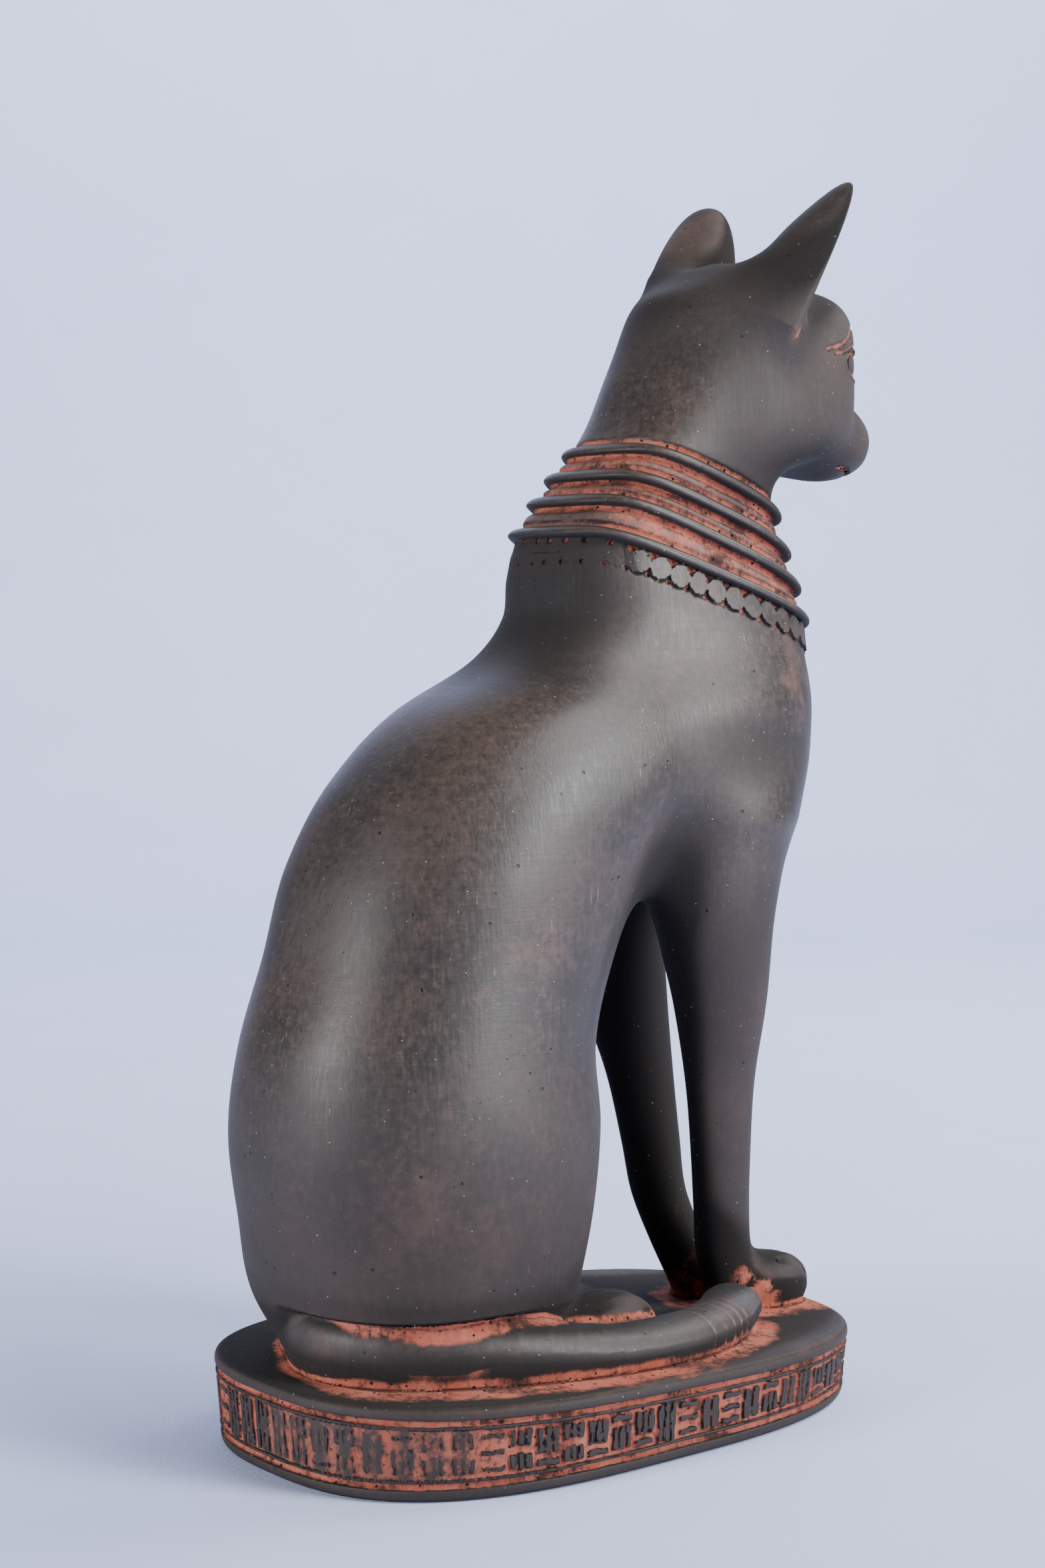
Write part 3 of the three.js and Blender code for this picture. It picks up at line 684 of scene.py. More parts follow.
@dataclass(frozen=True)
class Cat:
    """The whole cat above its plinth."""

    trunk: Trunk = Trunk()
    foreleg: Foreleg = Foreleg()
    head: Head = Head()
    ear: Ear = Ear()
    tail: Tail = Tail()
    collar: Collar = Collar()
    foot_centre: tuple = (25.5, 3, 5)
    foot_radii: tuple = (8.5, 17.5, 10.4)
    foot_toes: tuple = (21.5, 26.0, 30.5)
    leg_fillet: float = 14.0
    head_fillet: float = 12.0
    ear_fillet: float = 6.0
    paw_fillet: float = 8.0
    foot_fillet: float = 2.0
    tail_fillet: float = 1.8

    def fit(self) -> Fitted:
        """Works out what the details need to know of the plain form."""
        return Fitted(self.collar.arc(self), self.head.settled_lines())

    def plain(self, x: Array, y: Array, z: Array) -> Array:
        """Measures to the trunk with the forelegs and head.

        Args:
            x: Sideways positions.
            y: Positions along the cat.
            z: Heights above the plinth.

        Returns:
            The distances.
        """
        side = np.abs(x)
        d = self.trunk.distance(x, y, z)
        d = only_where(
            (z < 165.0) & (y < 20.0), d,
            lambda b, s, v, w: blend(b, self.foreleg.leg(s, v, w), self.leg_fillet), side, y, z)
        return only_where(
            z > 195.0, d,
            lambda b, s, v, w: blend(b, self.head.distance(s, v, w), self.head_fillet), side, y, z)

    def foot(self, side: Array, y: Array, z: Array) -> Array:
        """Measures to a hind foot with its toes.

        Args:
            side: Distance from the middle plane.
            y: Positions along the cat.
            z: Heights above the plinth.

        Returns:
            The distances.
        """
        foot = egg(side, y, z, self.foot_centre, self.foot_radii)
        for gap in self.foot_toes:
            reach = np.clip((-6.0 - y) / 6.0, 0.0, 1.0)
            cleft = np.hypot((side - gap) / 0.7, np.maximum(foot, -3.0) / (0.15 + 0.7 * reach)) - 1.0
            foot = carve(foot, cleft * 0.5, 0.7)
        return foot

    def parts(self, x: Array, y: Array, z: Array, fitted: Fitted) -> dict:
        """Measures to the trunk with its head and legs, and to what lies against it.

        Args:
            x: Sideways positions.
            y: Positions along the cat.
            z: Heights above the plinth.
            fitted: What `fit` worked out.

        Returns:
            Distances by name: body, plain, paw, foot and tail.
        """
        side = np.abs(x)
        plain = self.plain(x, y, z)
        body = only_where(
            (z > 150.0) & (z < 226.0) & (np.abs(plain) < 6.0), plain,
            lambda b, u, v, w: self.collar.carve(b, u, v, w, fitted.arc), x, y, z)
        body = only_where(
            z > 205.0, body, lambda b, s, v, w: self.add_head(b, s, v, w, fitted.lines), side, y, z)
        far = np.full(x.shape, FAR)
        low = z < 34.0
        paw = only_where(low & (y < -30.0), far, lambda b, s, v, w: self.foreleg.paw(s, v, w), side, y, z)
        foot = only_where(low & (np.abs(y) < 40.0), far, lambda b, s, v, w: self.foot(s, v, w), side, y, z)
        tail = only_where(low, far, lambda b, u, v, w: self.tail.distance(u, v, w), x, y, z)
        return {"body": body, "plain": plain, "paw": paw, "foot": foot, "tail": tail}

    def add_head(self, d: Array, side: Array, y: Array, z: Array, lines: tuple) -> Array:
        """Adds the ears, then works in their hollows and the face.

        Args:
            d: The distance before.
            side: Distance from the middle plane.
            y: Positions along the cat.
            z: Heights above the plinth.
            lines: The settled lines of the face.

        Returns:
            The distance with the whole head in it.
        """
        form, hollow = self.ear.distance(side, y, z)
        d = carve(blend(d, form, self.ear_fillet), np.maximum(hollow, 1.0 - d), 1.2)
        return self.head.face(d, side, y, z, lines)

    def distance(self, x: Array, y: Array, z: Array, fitted: Fitted) -> Array:
        """Measures to the cat.

        Args:
            x: Sideways positions.
            y: Positions along the cat.
            z: Heights above the plinth.
            fitted: What `fit` worked out.

        Returns:
            The distances.
        """
        part = self.parts(x, y, z, fitted)
        d = blend(part["body"], part["paw"], self.paw_fillet)
        d = blend(d, part["foot"], self.foot_fillet)
        return blend(d, part["tail"], self.tail_fillet)


@dataclass(frozen=True)
class Plinth:
    """The oval plinth with its moulded wall and the row of plain strokes."""

    length: float = 165.0
    width: float = 108.0
    straight: float = 10.0
    rear_height: float = 22.5
    front_height: float = 17.5
    roundness: float = 2.7
    draft: float = 1.7
    rim_band: float = 3.0
    foot_band: float = 3.2
    groove_width: float = 1.3
    groove_depth: float = 1.0
    border_line: float = 0.9
    panel_depth: float = 0.8
    group: float = 6.9
    stroke: float = 1.6
    margin: float = 0.3
    stroke_proud: float = -0.12
    stroke_root: float = 1.6
    pattern_seed: int = 5
    edge_fillet: float = 2.4
    # the wall's right rear is worn between these places along the cat
    worn_run: tuple = (42.0, 66.0)
    worn_panel: float = 0.6
    worn_strokes: float = 0.7

    def top(self, y: Array) -> Array:
        """Gives the height of the top, which falls toward the front."""
        middle = (self.front_height + self.rear_height) / 2.0
        return middle + (self.rear_height - self.front_height) * y / self.length

    def outline(self, x: Array, y: Array) -> tuple:
        """Measures to the rim's outline and finds the run round it.

        Args:
            x: Sideways positions.
            y: Positions along the plinth.

        Returns:
            The distance outside the outline and the length run from +X.
        """
        n = self.roundness
        half = self.straight / 2.0
        a, b = self.width / 2.0, self.length / 2.0 - half
        across = np.abs(x) / a + 1e-9
        along = np.maximum(np.abs(y) - half, 0.0) / b + 1e-9
        k = (across ** n + along ** n) ** (1.0 / n)
        slope = k ** (1.0 - n) * np.hypot(across ** (n - 1.0) / a, along ** (n - 1.0) / b)
        fine = np.linspace(0.0, math.pi / 2.0, 400)
        edge_x, edge_y = a * np.cos(fine) ** (2.0 / n), b * np.sin(fine) ** (2.0 / n)
        reach = np.concatenate([[0.0], np.cumsum(np.hypot(np.diff(edge_x), np.diff(edge_y)))])
        turn = np.arctan2(along ** (n / 2.0), across ** (n / 2.0))
        run = np.where(np.abs(y) <= half, np.abs(y), half + np.interp(turn, fine, reach))
        quarter = half + reach[-1]
        run = np.where(x < 0.0, 2.0 * quarter - run, run)
        return (k - 1.0) / np.maximum(slope, 1e-6), np.where(y < 0.0, 4.0 * quarter - run, run)

    def distance(self, x: Array, y: Array, z: Array) -> tuple:
        """Measures to the plinth.

        Args:
            x: Sideways positions.
            y: Positions along the plinth.
            z: Heights above the underside.

        Returns:
            The distance with its mouldings, and the plain distance without.
        """
        top = self.top(y)
        edge, run = self.outline(x, y)
        wall = edge + self.draft * (1.0 - np.clip(z / top, 0.0, 1.0))
        slab = np.maximum(z - top, -z)
        plain = -blend(-wall, -slab, self.edge_fillet)
        worn = np.where(x < 0.0, ease(y, *self.worn_run), 0.0) * (0.75 + 0.25 * np.sin(0.9 * run))
        d = only_where((wall > -4.0) & (wall < 4.0), plain, self.mould, wall, z, top, run, worn)
        return d, plain

    def mould(self, d: Array, wall: Array, z: Array, top: Array, run: Array, worn: Array) -> Array:
        """Cuts the grooves and the panel into the wall and raises the strokes.

        Args:
            d: The distance before.
            wall: Distance outside the wall.
            z: Heights above the underside.
            top: Heights of the plinth's top.
            run: Length run round the wall.
            worn: How worn the wall is, from 0 to 1.

        Returns:
            The distance with the mouldings.
        """
        line = self.groove_width + self.border_line
        half = self.groove_width / 2.0
        for middle in (top - self.rim_band - half, self.foot_band + half):
            groove = np.maximum(np.abs(z - middle) - half, -wall - self.groove_depth)
            d = carve(d, groove, 0.6)
        low, high = self.foot_band + line, top - self.rim_band - line
        middle, tall = (low + high) / 2.0, high - low
        depth = self.panel_depth * (1.0 - self.worn_panel * worn)
        panel = np.maximum(np.abs(z - middle) - tall / 2.0, -wall - depth)
        d = carve(d, panel, 0.5)
        marks = self.strokes(run, (z - middle), tall - 2.0 * self.margin) + self.worn_strokes * worn
        marks = np.maximum(np.maximum(marks, wall - self.stroke_proud), -wall - self.stroke_root)
        return blend(d, marks, 0.4)

    def strokes(self, run: Array, v: Array, tall: Array) -> Array:
        """Measures to the plain strokes, in their flat pattern on the wall.

        The strokes stand in groups: full ones, two rows of short ones, a stack of
        level ones, or a level one over or under a row of short ones.

        Args:
            run: Length run round the wall.
            v: Heights from the middle of the panel.
            tall: Height of a full stroke.

        Returns:
            The distance to the nearest stroke's outline.
        """
        kinds = np.random.default_rng(self.pattern_seed).integers(0, 6, 512)
        place = np.floor(run / self.group).astype(int)
        kind = kinds[place]
        u = run - (place + 0.5) * self.group
        u = u + 0.2 * np.sin(1.9 * run + 0.8 * v)
        v = v + 0.18 * np.sin(1.3 * run + 0.6 * v)
        half = self.stroke / 2.0
        wide = self.group / 2.0 - 0.55
        third = np.abs(np.mod(u + wide / 3.0, wide / 1.5) - wide / 3.0)
        third = np.where(np.abs(u) < wide, third, np.abs(u) - wide * 2.0 / 3.0)
        full = self.bar(third, v, half, tall / 2.0)
        rows = self.bar(third, np.abs(v) - tall * 0.27, half, tall * 0.19)
        stack = self.bar(u, np.where(np.abs(v) < tall * 0.19, v, np.abs(v) - tall * 0.37), wide, half * 0.8)
        block = self.bar(np.abs(u) - wide * 0.5, v, half * 1.5, tall * 0.44)
        over, under = (
            np.minimum(
                self.bar(u, v - hand * tall * 0.37, wide, half * 0.9),
                self.bar(third, v + hand * tall * 0.14, half, tall * 0.3))
            for hand in (1.0, -1.0))
        choices = (full, rows, stack, block, over, under)
        return np.select([kind == i for i in range(len(choices))], choices)

    @staticmethod
    def bar(u: Array, v: Array, half_u: float, half_v: Array) -> Array:
        """Measures to a soft-cornered bar about the origin of u and v.

        Args:
            u: Positions along the wall.
            v: Heights.
            half_u: Half the bar's width.
            half_v: Half its height.

        Returns:
            The distances in the plane of the wall.
        """
        corner = 0.35
        a, b = np.abs(u) - half_u + corner, np.abs(v) - half_v + corner
        outside = np.hypot(np.maximum(a, 0.0), np.maximum(b, 0.0))
        return outside + np.minimum(np.maximum(a, b), 0.0) - corner


@dataclass(frozen=True)
class SparseNet:
    """Meshes the zero of a distance field in fine cells near the surface only."""

    low: tuple = (-60.0, -120.0, -6.0)
    high: tuple = (60.0, 90.0, 312.0)
    coarse: float = 4.0
    halvings: int = 3
    # how many cells the surface may be away from a cell's middle, at first and later
    first_reach: float = 1.7
    later_reach: float = 1.25

    def cells(self, field_at: callable) -> tuple:
        """Narrows the grid down to the fine cells that may hold the surface.

        Args:
            field_at: Gives the distance at an array of points.

        Returns:
            The cells' whole-number places and their size.
        """
        size = self.coarse
        counts = [int(math.ceil((h - l) / size)) for l, h in zip(self.low, self.high)]
        grid = np.indices(counts).reshape(3, -1).T
        corners = np.indices((2, 2, 2)).reshape(3, -1).T
        for level in range(self.halvings + 1):
            middle = (grid + 0.5) * size + np.array(self.low)
            grid = grid[np.abs(field_at(middle)) < size * (self.later_reach if level else self.first_reach)]
            if level == self.halvings:
                break
            grid = (grid[:, None, :] * 2 + corners[None]).reshape(-1, 3)
            size /= 2.0
        return grid, size

    def mesh(self, field_at: callable) -> tuple:
        """Makes the net of quads.

        Args:
            field_at: Gives the distance at an array of points.

        Returns:
            The corners' places and the quads' corner numbers.
        """
        cells, size = self.cells(field_at)
        span = 4096
        weights = np.array([span * span, span, 1], dtype=np.int64)
        corners = np.indices((2, 2, 2)).reshape(3, -1).T
        keys = cells.astype(np.int64) @ weights
        nodes = np.unique((keys[:, None] + (corners @ weights)[None]).ravel())
        places = np.stack([nodes // (span * span), nodes // span % span, nodes % span], axis=-1)
        values = field_at(places * size + np.array(self.low))
        at = np.searchsorted(nodes, keys[:, None] + (corners @ weights)[None])
        held = values[at]
        inside = held < 0.0
        crossed = inside.any(axis=1) & ~inside.all(axis=1)
        order = np.argsort(keys[crossed])
        cells, held, keys = cells[crossed][order], held[crossed][order], keys[crossed][order]
        total = np.zeros((len(cells), 3))
        hits = np.zeros(len(cells))
        for a in range(8):
            for axis in range(3):
                if corners[a, axis]:
                    continue
                b = a + (4, 2, 1)[axis]
                cut = (held[:, a] < 0.0) != (held[:, b] < 0.0)
                share = held[cut, a] / (held[cut, a] - held[cut, b])
                place = np.repeat(corners[a][None].astype(float), len(share), axis=0)
                place[:, axis] = share
                total[cut] += place
                hits[cut] += 1.0
        points = (cells + total / hits[:, None]) * size + np.array(self.low)
        quads = []
        for axis in range(3):
            ahead = weights[axis]
            found = np.searchsorted(nodes, nodes + ahead)
            found = np.minimum(found, len(nodes) - 1)
            linked = nodes[found] == nodes + ahead
            cut = linked & ((values < 0.0) != (values[found] < 0.0))
            u, v = weights[(axis + 1) % 3], weights[(axis + 2) % 3]
            here = nodes[cut]
            ring = np.stack([here - u - v, here - v, here, here - u], axis=-1)
            spots = np.minimum(np.searchsorted(keys, ring), len(keys) - 1)
            good = (keys[spots] == ring).all(axis=1)
            outward = values[cut] < 0.0
            faces = np.where(outward[:, None], spots, spots[:, ::-1])
            quads.append(faces[good])
        return points, np.vstack(quads)


@dataclass
class Casting:
    """The cat and the plinth as the single casting that they are."""

    cat: Cat = field(default_factory=Cat)
    plinth: Plinth = field(default_factory=Plinth)
    net: SparseNet = field(default_factory=SparseNet)
    fillet: float = 2.6
    crease_depth: float = 0.4
    # which lies on which, the fillet between them, and how fast the red thins out on each
    seams: tuple = (
        ("body", "tail", 1.8, 2.6, 1.0), ("foot", "tail", 1.8, 1.2, 1.8), ("body", "base", 2.6, 1.3, 0.62),
        ("tail", "base", 2.6, 1.3, 0.5), ("paw", "base", 2.6, 2.0, 0.45), ("foot", "base", 2.6, 0.6, 0.6),
    )
    # places where the patina is thin: middle, reach, strength
    thin_places: tuple = (
        ((-14, -54.5, 28), 5.5, 1.15), ((-16, -61, 24), 4.5, 1.0), ((-14, -32, 19), 13, 0.5),
        ((3, -53, 29), 7, 0.9), ((5, -51, 42), 6, 0.75), ((-8, 76, 21), 12, 0.55), ((-20, -44, 86), 24, 0.36),
        ((24, -68, 292), 16, 0.74), ((-28.2, -61, 267), 2.8, 1.15), ((-26.7, -65.4, 271), 2.4, 0.95),
        ((-38, 46, 56), 30, 0.34), ((-30, 66, 60), 26, 0.4), ((-34, 6, 58), 30, 0.28),
        ((-16, -46, 80), 26, 0.3), ((-24, -28, 238), 11, 0.4), ((-20, -30, 200), 30, 0.22),
        ((-36, 30, 120), 14, 0.42), ((-26, -80, 268), 16, 0.35), ((-28, -56, 180), 28, 0.32),
    )
    # how far out the figure is looked for, and what each look counts for
    shade_steps: tuple = ((5.0, 0.2), (12.0, 0.25), (24.0, 0.3), (40.0, 0.25))
    seam_limit: float = 20.0
    tail_gloss: float = 0.35
    triangles: int = 192000
    batch: int = 400000

    def __post_init__(self) -> None:
        """Fits the details to the plain form once."""
        self.fitted = self.cat.fit()

    def distance(self, points: Array) -> Array:
        """Measures to the casting, a batch of points at a time.

        Args:
            points: Places, one a row.

        Returns:
            The distances.
        """
        out = np.empty(len(points))
        for start in range(0, len(points), self.batch):
            x, y, z = points[start:start + self.batch].T
            far = np.full(x.shape, FAR)
            cat = only_where(
                z > 12.0, far,
                lambda b, u, v, w: self.cat.distance(u, v, w - PLINTH_TOP, self.fitted), x, y, z)
            low = z < 40.0
            base = only_where(low, far, lambda b, u, v, w: self.plinth.distance(u, v, w)[0], x, y, z)
            crease = self.crease_depth * np.exp(-((cat - base) / 0.4) ** 2)
            out[start:start + self.batch] = np.where(low, blend(cat, base, self.fillet) + crease, cat)
        return out

    def slope(self, points: Array) -> Array:
        """Gives the outward direction at points near the surface.

        Args:
            points: Places, one a row.

        Returns:
            Directions of length 1, one a row.
        """
        step = 0.12
        rows = []
        for axis in range(3):
            shift = np.zeros(3)
            shift[axis] = step
            rows.append(self.distance(points + shift) - self.distance(points - shift))
        normal = np.stack(rows, axis=-1)
        return normal / np.maximum(np.linalg.norm(normal, axis=1, keepdims=True), 1e-9)

    def primitives(self, points: Array) -> dict:
        """Measures to each member of the casting.

        Args:
            points: Places, one a row.

        Returns:
            Distances by the member's name.
        """
        x, y, z = points.T
        base, plain_base = self.plinth.distance(x, y, z)
        part = self.cat.parts(x, y, z - PLINTH_TOP, self.fitted)
        return {**part, "base": base, "plain_base": plain_base}

    def shade(self, points: Array, outward: Array) -> Array:
        """Gives how far other parts of the figure close in on each point, which the finish paints as shade.

        Args:
            points: Places, one a row.
            outward: The directions out of the surface.

        Returns:
            Values from 0, open, to 1, closed in.
        """
        shade = np.zeros(len(points))
        for reach, weight in self.shade_steps:
            open_by = self.distance(points + outward * reach)
            shade += weight * np.clip(1.0 - open_by / reach, 0.0, 1.0)
        return shade

    def marks(self, points: Array, outward: Array) -> dict:
        """Works out what the finish reads at each corner.

        Args:
            points: The corners, on the surface.
            outward: The directions square to the surface there.

        Returns:
            Values by mark: the height of relief and the way to a seam, in
            millimetres, how thin the patina is, how closed in the place is, which
            sets painted shade there, and how little it was buffed, which also sets
            painted shade low down, on the forelegs, on the face and on the plinth's top.
        """
        x, y, z = points.T
        up = z - PLINTH_TOP
        part = self.primitives(points)
        slopes = {name: [] for name in part}
        for step in np.eye(3) * 0.3:
            ahead, behind = self.primitives(points + step), self.primitives(points - step)
            for name in part:
                slopes[name].append(ahead[name] - behind[name])
        normals = {}
        for name, rows in slopes.items():
            normal = np.stack(rows, axis=-1)
            normals[name] = normal / np.maximum(np.linalg.norm(normal, axis=1, keepdims=True), 1e-9)
        seam = np.full(len(points), self.seam_limit)
        quiet = ease(x, -22.0, -10.0) * ease(y, 42.0, 56.0)
        for upper, lower, fillet, on_upper, on_lower in self.seams:
            turn = np.linalg.norm(np.cross(normals[upper], normals[lower]), axis=1)
            way = (np.maximum(part[upper], part[lower]) - fillet / 4.0) / np.maximum(turn, 0.25)
            way = way * np.where(part[upper] < part[lower], on_upper, on_lower)
            way = way + quiet * (3.5 if lower == "tail" else way + 0.8)
            seam = np.minimum(seam, way)
        form, hollow = self.cat.ear.distance(np.abs(x), y, up)
        crease = np.maximum(np.abs(form), np.abs(part["plain"])) * 1.1 + 1.0 + 4.0 * ease(y, -71.0, -64.0)
        seam = np.where((up > 234.0) & (hollow > 0.5), np.minimum(seam, crease), seam)

        near_limb = np.minimum(np.minimum(part["paw"], part["foot"]), part["tail"])
        relief = np.where(part["plain_base"] < part["plain"], part["plain_base"] * 0.55, part["plain"])
        relief = np.where((near_limb < 1.5) | ((up > 224.0) & (form < 2.0)), 0.0, relief)
        relief = np.where((np.abs(hollow) < 0.4) & (form < 0.0), -0.3, relief)
        relief = np.where((up > 206.0) & (y < -76.0), np.maximum(relief, -0.7), relief)
        in_eye = (up > 232.0) & (y < -76.0) & (self.cat.head.eye(np.abs(x), y, up)[1] < -0.7)
        relief = np.where(in_eye, 0.0, relief)
        relief = np.where((up > 150.0) & (up < 224.0), relief * (1.0 - 0.45 * ease(y, -16.0, -2.0)), relief)

        collar = self.cat.collar
        under, over = collar.above(collar.rings[0], y, up), collar.above(collar.rings[-1], y, up)
        strip = np.clip(0.85 - 0.5 * np.clip((y + 14.0) / 14.0, 0.0, 1.0), 0.0, 1.0)
        stain = np.where((under < 0.5) & (over > -0.5) & (relief < 0.35) & (up > 150.0), strip, 0.0)
        for middle, reach, strength in self.thin_places:
            gap = np.linalg.norm(points - np.array(middle, float), axis=1) / reach
            stain = np.maximum(stain, strength * np.exp(-gap * gap))
        on_tail = part["tail"] < 0.6
        stain = np.maximum(stain, 0.95 * np.where(on_tail, self.cat.tail.follow(x, y, up)[1], 0.0))
        edge = self.plinth.outline(x, y)[0]
        fall = z - self.plinth.top(y)
        flat = (np.abs(fall) < 1.2) & (edge < -1.0)
        stain = np.where(flat, np.maximum(stain, 0.32), stain)
        stain = np.maximum(stain, 0.5 * np.exp(-(edge + 0.9) ** 2 - (fall + 0.7) ** 2))
        return {
            Mark.RELIEF: relief, Mark.SEAM: np.clip(seam, 0.0, self.seam_limit), Mark.STAIN: stain,
            Mark.SHADE: self.shade(points, outward),
            Mark.MATTE: self.matte_and_shade(y, up, flat) * np.where(on_tail, self.tail_gloss, 1.0),
        }

    @staticmethod
    def matte_and_shade(y: Array, up: Array, flat: Array) -> Array:
        """Gives where the waxed patina was never buffed: the plinth's top, low down, the forelegs and the
        face, all also darkened as painted shade.

        Args:
            y: Positions along the cat.
            up: Heights above the plinth.
            flat: Which points lie on the plinth's top.

        Returns:
            Values from 0, buffed, to 1.
        """
        # besides being unbuffed, these places are darkened as painted shade
        low = 0.95 * (1.0 - ease(up, 22.0, 92.0))
        face = 0.75 * ease(up, 194.0, 214.0) * ease(-y, 28.0, 52.0)
        legs = (1.0 - ease(up, 96.0, 132.0)) * ease(-y, 16.0, 34.0)
        return np.where(flat, 1.0, np.maximum(np.maximum(low, face), legs))

    def build(self, material: bpy.types.Material) -> bpy.types.Object:
        """Meshes the casting, thins the mesh and lays it on the true surface.

        Args:
            material: Its finish.

        Returns:
            The finished object, which stands for the plain solid.
        """
        points, quads = self.net.mesh(self.distance)
        LOG.info("fine net: %d corners, %d quads", len(points), len(quads))
        rough = new_mesh("casting_fine", points * MM, quads)
        holder = bpy.data.objects.new("casting_fine", rough)
        bpy.context.scene.collection.objects.link(holder)
        thin = holder.modifiers.new("thin", "DECIMATE")
        thin.ratio = min(1.0, self.triangles / (2.0 * len(quads)))
        graph = bpy.context.evaluated_depsgraph_get()
        mesh = bpy.data.meshes.new_from_object(holder.evaluated_get(graph))
        bpy.data.objects.remove(holder)
        corners = np.empty(len(mesh.vertices) * 3)
        mesh.vertices.foreach_get("co", corners)
        corners = corners.reshape(-1, 3) / MM
        for _ in range(2):
            gap = np.clip(self.distance(corners), -0.3, 0.3)
            corners = corners - self.slope(corners) * gap[:, None]
        corners[:, 2] = np.maximum(corners[:, 2], 0.0)
        mesh.vertices.foreach_set("co", (corners * MM).ravel())
        mesh.name = "seated_cat_casting"
        outward = self.slope(corners)
        for mark, values in self.marks(corners, outward).items():
            layer = mesh.attributes.new(mark.value, "FLOAT", "POINT")
            layer.data.foreach_set("value", values.astype(np.float32))
        mesh.polygons.foreach_set("use_smooth", np.ones(len(mesh.polygons), bool))
        mesh.normals_split_custom_set_from_vertices(outward.tolist())
        mesh.update()
        piece = bpy.data.objects.new("seated_cat_casting", mesh)
        bpy.context.scene.collection.objects.link(piece)
        piece.data.materials.append(material)
        LOG.info("seated_cat_casting: %d triangles", len(mesh.polygons))
        return piece


def new_mesh(name: str, points: Array, faces: Array) -> bpy.types.Mesh:
    """Makes a mesh from arrays.

    Args:
        name: The mesh's name.
        points: Its corners, in metres.
        faces: Its faces' corner numbers, all with as many corners.

    Returns:
        The mesh.
    """
    mesh = bpy.data.meshes.new(name)
    sides = faces.shape[1]
    mesh.vertices.add(len(points))
    mesh.vertices.foreach_set("co", np.ascontiguousarray(points, np.float32).ravel())
    mesh.loops.add(faces.size)
    mesh.loops.foreach_set("vertex_index", faces.astype(np.int32).ravel())
    mesh.polygons.add(len(faces))
    mesh.polygons.foreach_set("loop_start", np.arange(0, faces.size, sides, dtype=np.int32))
    mesh.update(calc_edges=True)
    return mesh


class Graph:
    """Lays out shader nodes by short calls."""

    def __init__(self, tree: bpy.types.NodeTree) -> None:
        """Takes the tree to add nodes to."""
        self.tree = tree
        self.tree.nodes.clear()

    def add(self, kind: str, inputs: dict | None = None, **settings: object) -> bpy.types.Node:
        """Adds a node.

        Args:
            kind: The node's type.
            inputs: Values or sockets by input name or number.
            settings: The node's own properties.

        Returns:
            The node.
        """
        node = self.tree.nodes.new(kind)
        for name, value in settings.items():
            setattr(node, name, value)
        for name, value in (inputs or {}).items():
            self.put(node.inputs[name], value)
        return node

    def put(self, socket: bpy.types.NodeSocket, value: object) -> None:
        """Links a socket to an input, or sets its value.

        Args:
            socket: The input.
            value: A socket to link it to, or its value.
        """
        if isinstance(value, bpy.types.NodeSocket):
            self.tree.links.new(value, socket)
        else:
            socket.default_value = value

    def math(self, operation: str, *values: object, clamp: bool = False) -> bpy.types.NodeSocket:
        """Adds a sum of one to three values and gives its result."""
        node = self.add("ShaderNodeMath", dict(enumerate(values)), operation=operation, use_clamp=clamp)
        return node.outputs[0]

    def total(self, start: object, *terms: tuple) -> bpy.types.NodeSocket:
        """Adds values, each times its factor, to a first value.

        Args:
            start: The first value.
            terms: Pairs of a value and its factor.

        Returns:
            The sum.
        """
        for value, factor in terms:
            part = value if factor == 1.0 else self.math("MULTIPLY", value, factor)
            start = self.math("ADD", start, part)
        return start

    def ramp(
        self, value: object, low: float, high: float, start: float = 0.0, end: float = 1.0,
    ) -> bpy.types.NodeSocket:
        """Eases a value from one range to another, held at its ends."""
        node = self.add(
            "ShaderNodeMapRange", {0: value, 1: low, 2: high, 3: start, 4: end},
            interpolation_type="SMOOTHSTEP")
        return node.outputs[0]

    def mix(self, share: object, a: object, b: object) -> bpy.types.NodeSocket:
        """Mixes two colours.

        Args:
            share: How much of the second one there is.
            a: The first colour.
            b: The second colour.

        Returns:
            The mixed colour.
        """
        node = self.add("ShaderNodeMix", data_type="RGBA", blend_type="MIX")
        self.put(node.inputs[0], share)
        self.put(node.inputs[6], a)
        self.put(node.inputs[7], b)
        return node.outputs[2]

    def noise(self, place: object, scale: float, detail: float, roughness: float) -> bpy.types.NodeSocket:
        """Adds a noise and gives its value."""
        node = self.add(
            "ShaderNodeTexNoise", {"Vector": place, "Scale": scale, "Detail": detail, "Roughness": roughness})
        return node.outputs[0]

    def scaled(self, place: object, scale: tuple) -> bpy.types.NodeSocket:
        """Stretches a place by a factor for each axis."""
        node = self.add("ShaderNodeVectorMath", {0: place, 1: scale}, operation="MULTIPLY")
        return node.outputs[0]

    def mark(self, mark: Mark) -> bpy.types.NodeSocket:
        """Reads a value that the mesh keeps on its corners."""
        return self.add("ShaderNodeAttribute", attribute_name=mark.value).outputs["Fac"]


@dataclass(frozen=True)
class EffectGroup:
    """A shader effect with named inputs and outputs, built once."""

    name: str
    inputs: tuple
    outputs: tuple

    def build(self, fill: callable) -> bpy.types.NodeTree:
        """Makes the group.

        Args:
            fill: Takes the graph and the input sockets by name, and gives the outputs.

        Returns:
            The node group.
        """
        tree = bpy.data.node_groups.new(self.name, "ShaderNodeTree")
        graph = Graph(tree)
        for name, kind, value in self.inputs:
            socket = tree.interface.new_socket(name, in_out="INPUT", socket_type=kind)
            if value is not None:
                socket.default_value = value
        for name, kind in self.outputs:
            tree.interface.new_socket(name, in_out="OUTPUT", socket_type=kind)
        source = graph.add("NodeGroupInput")
        target = graph.add("NodeGroupOutput")
        given = fill(graph, {name: source.outputs[name] for name, _, _ in self.inputs})
        for name, value in given.items():
            graph.put(target.inputs[name], value)
        return tree


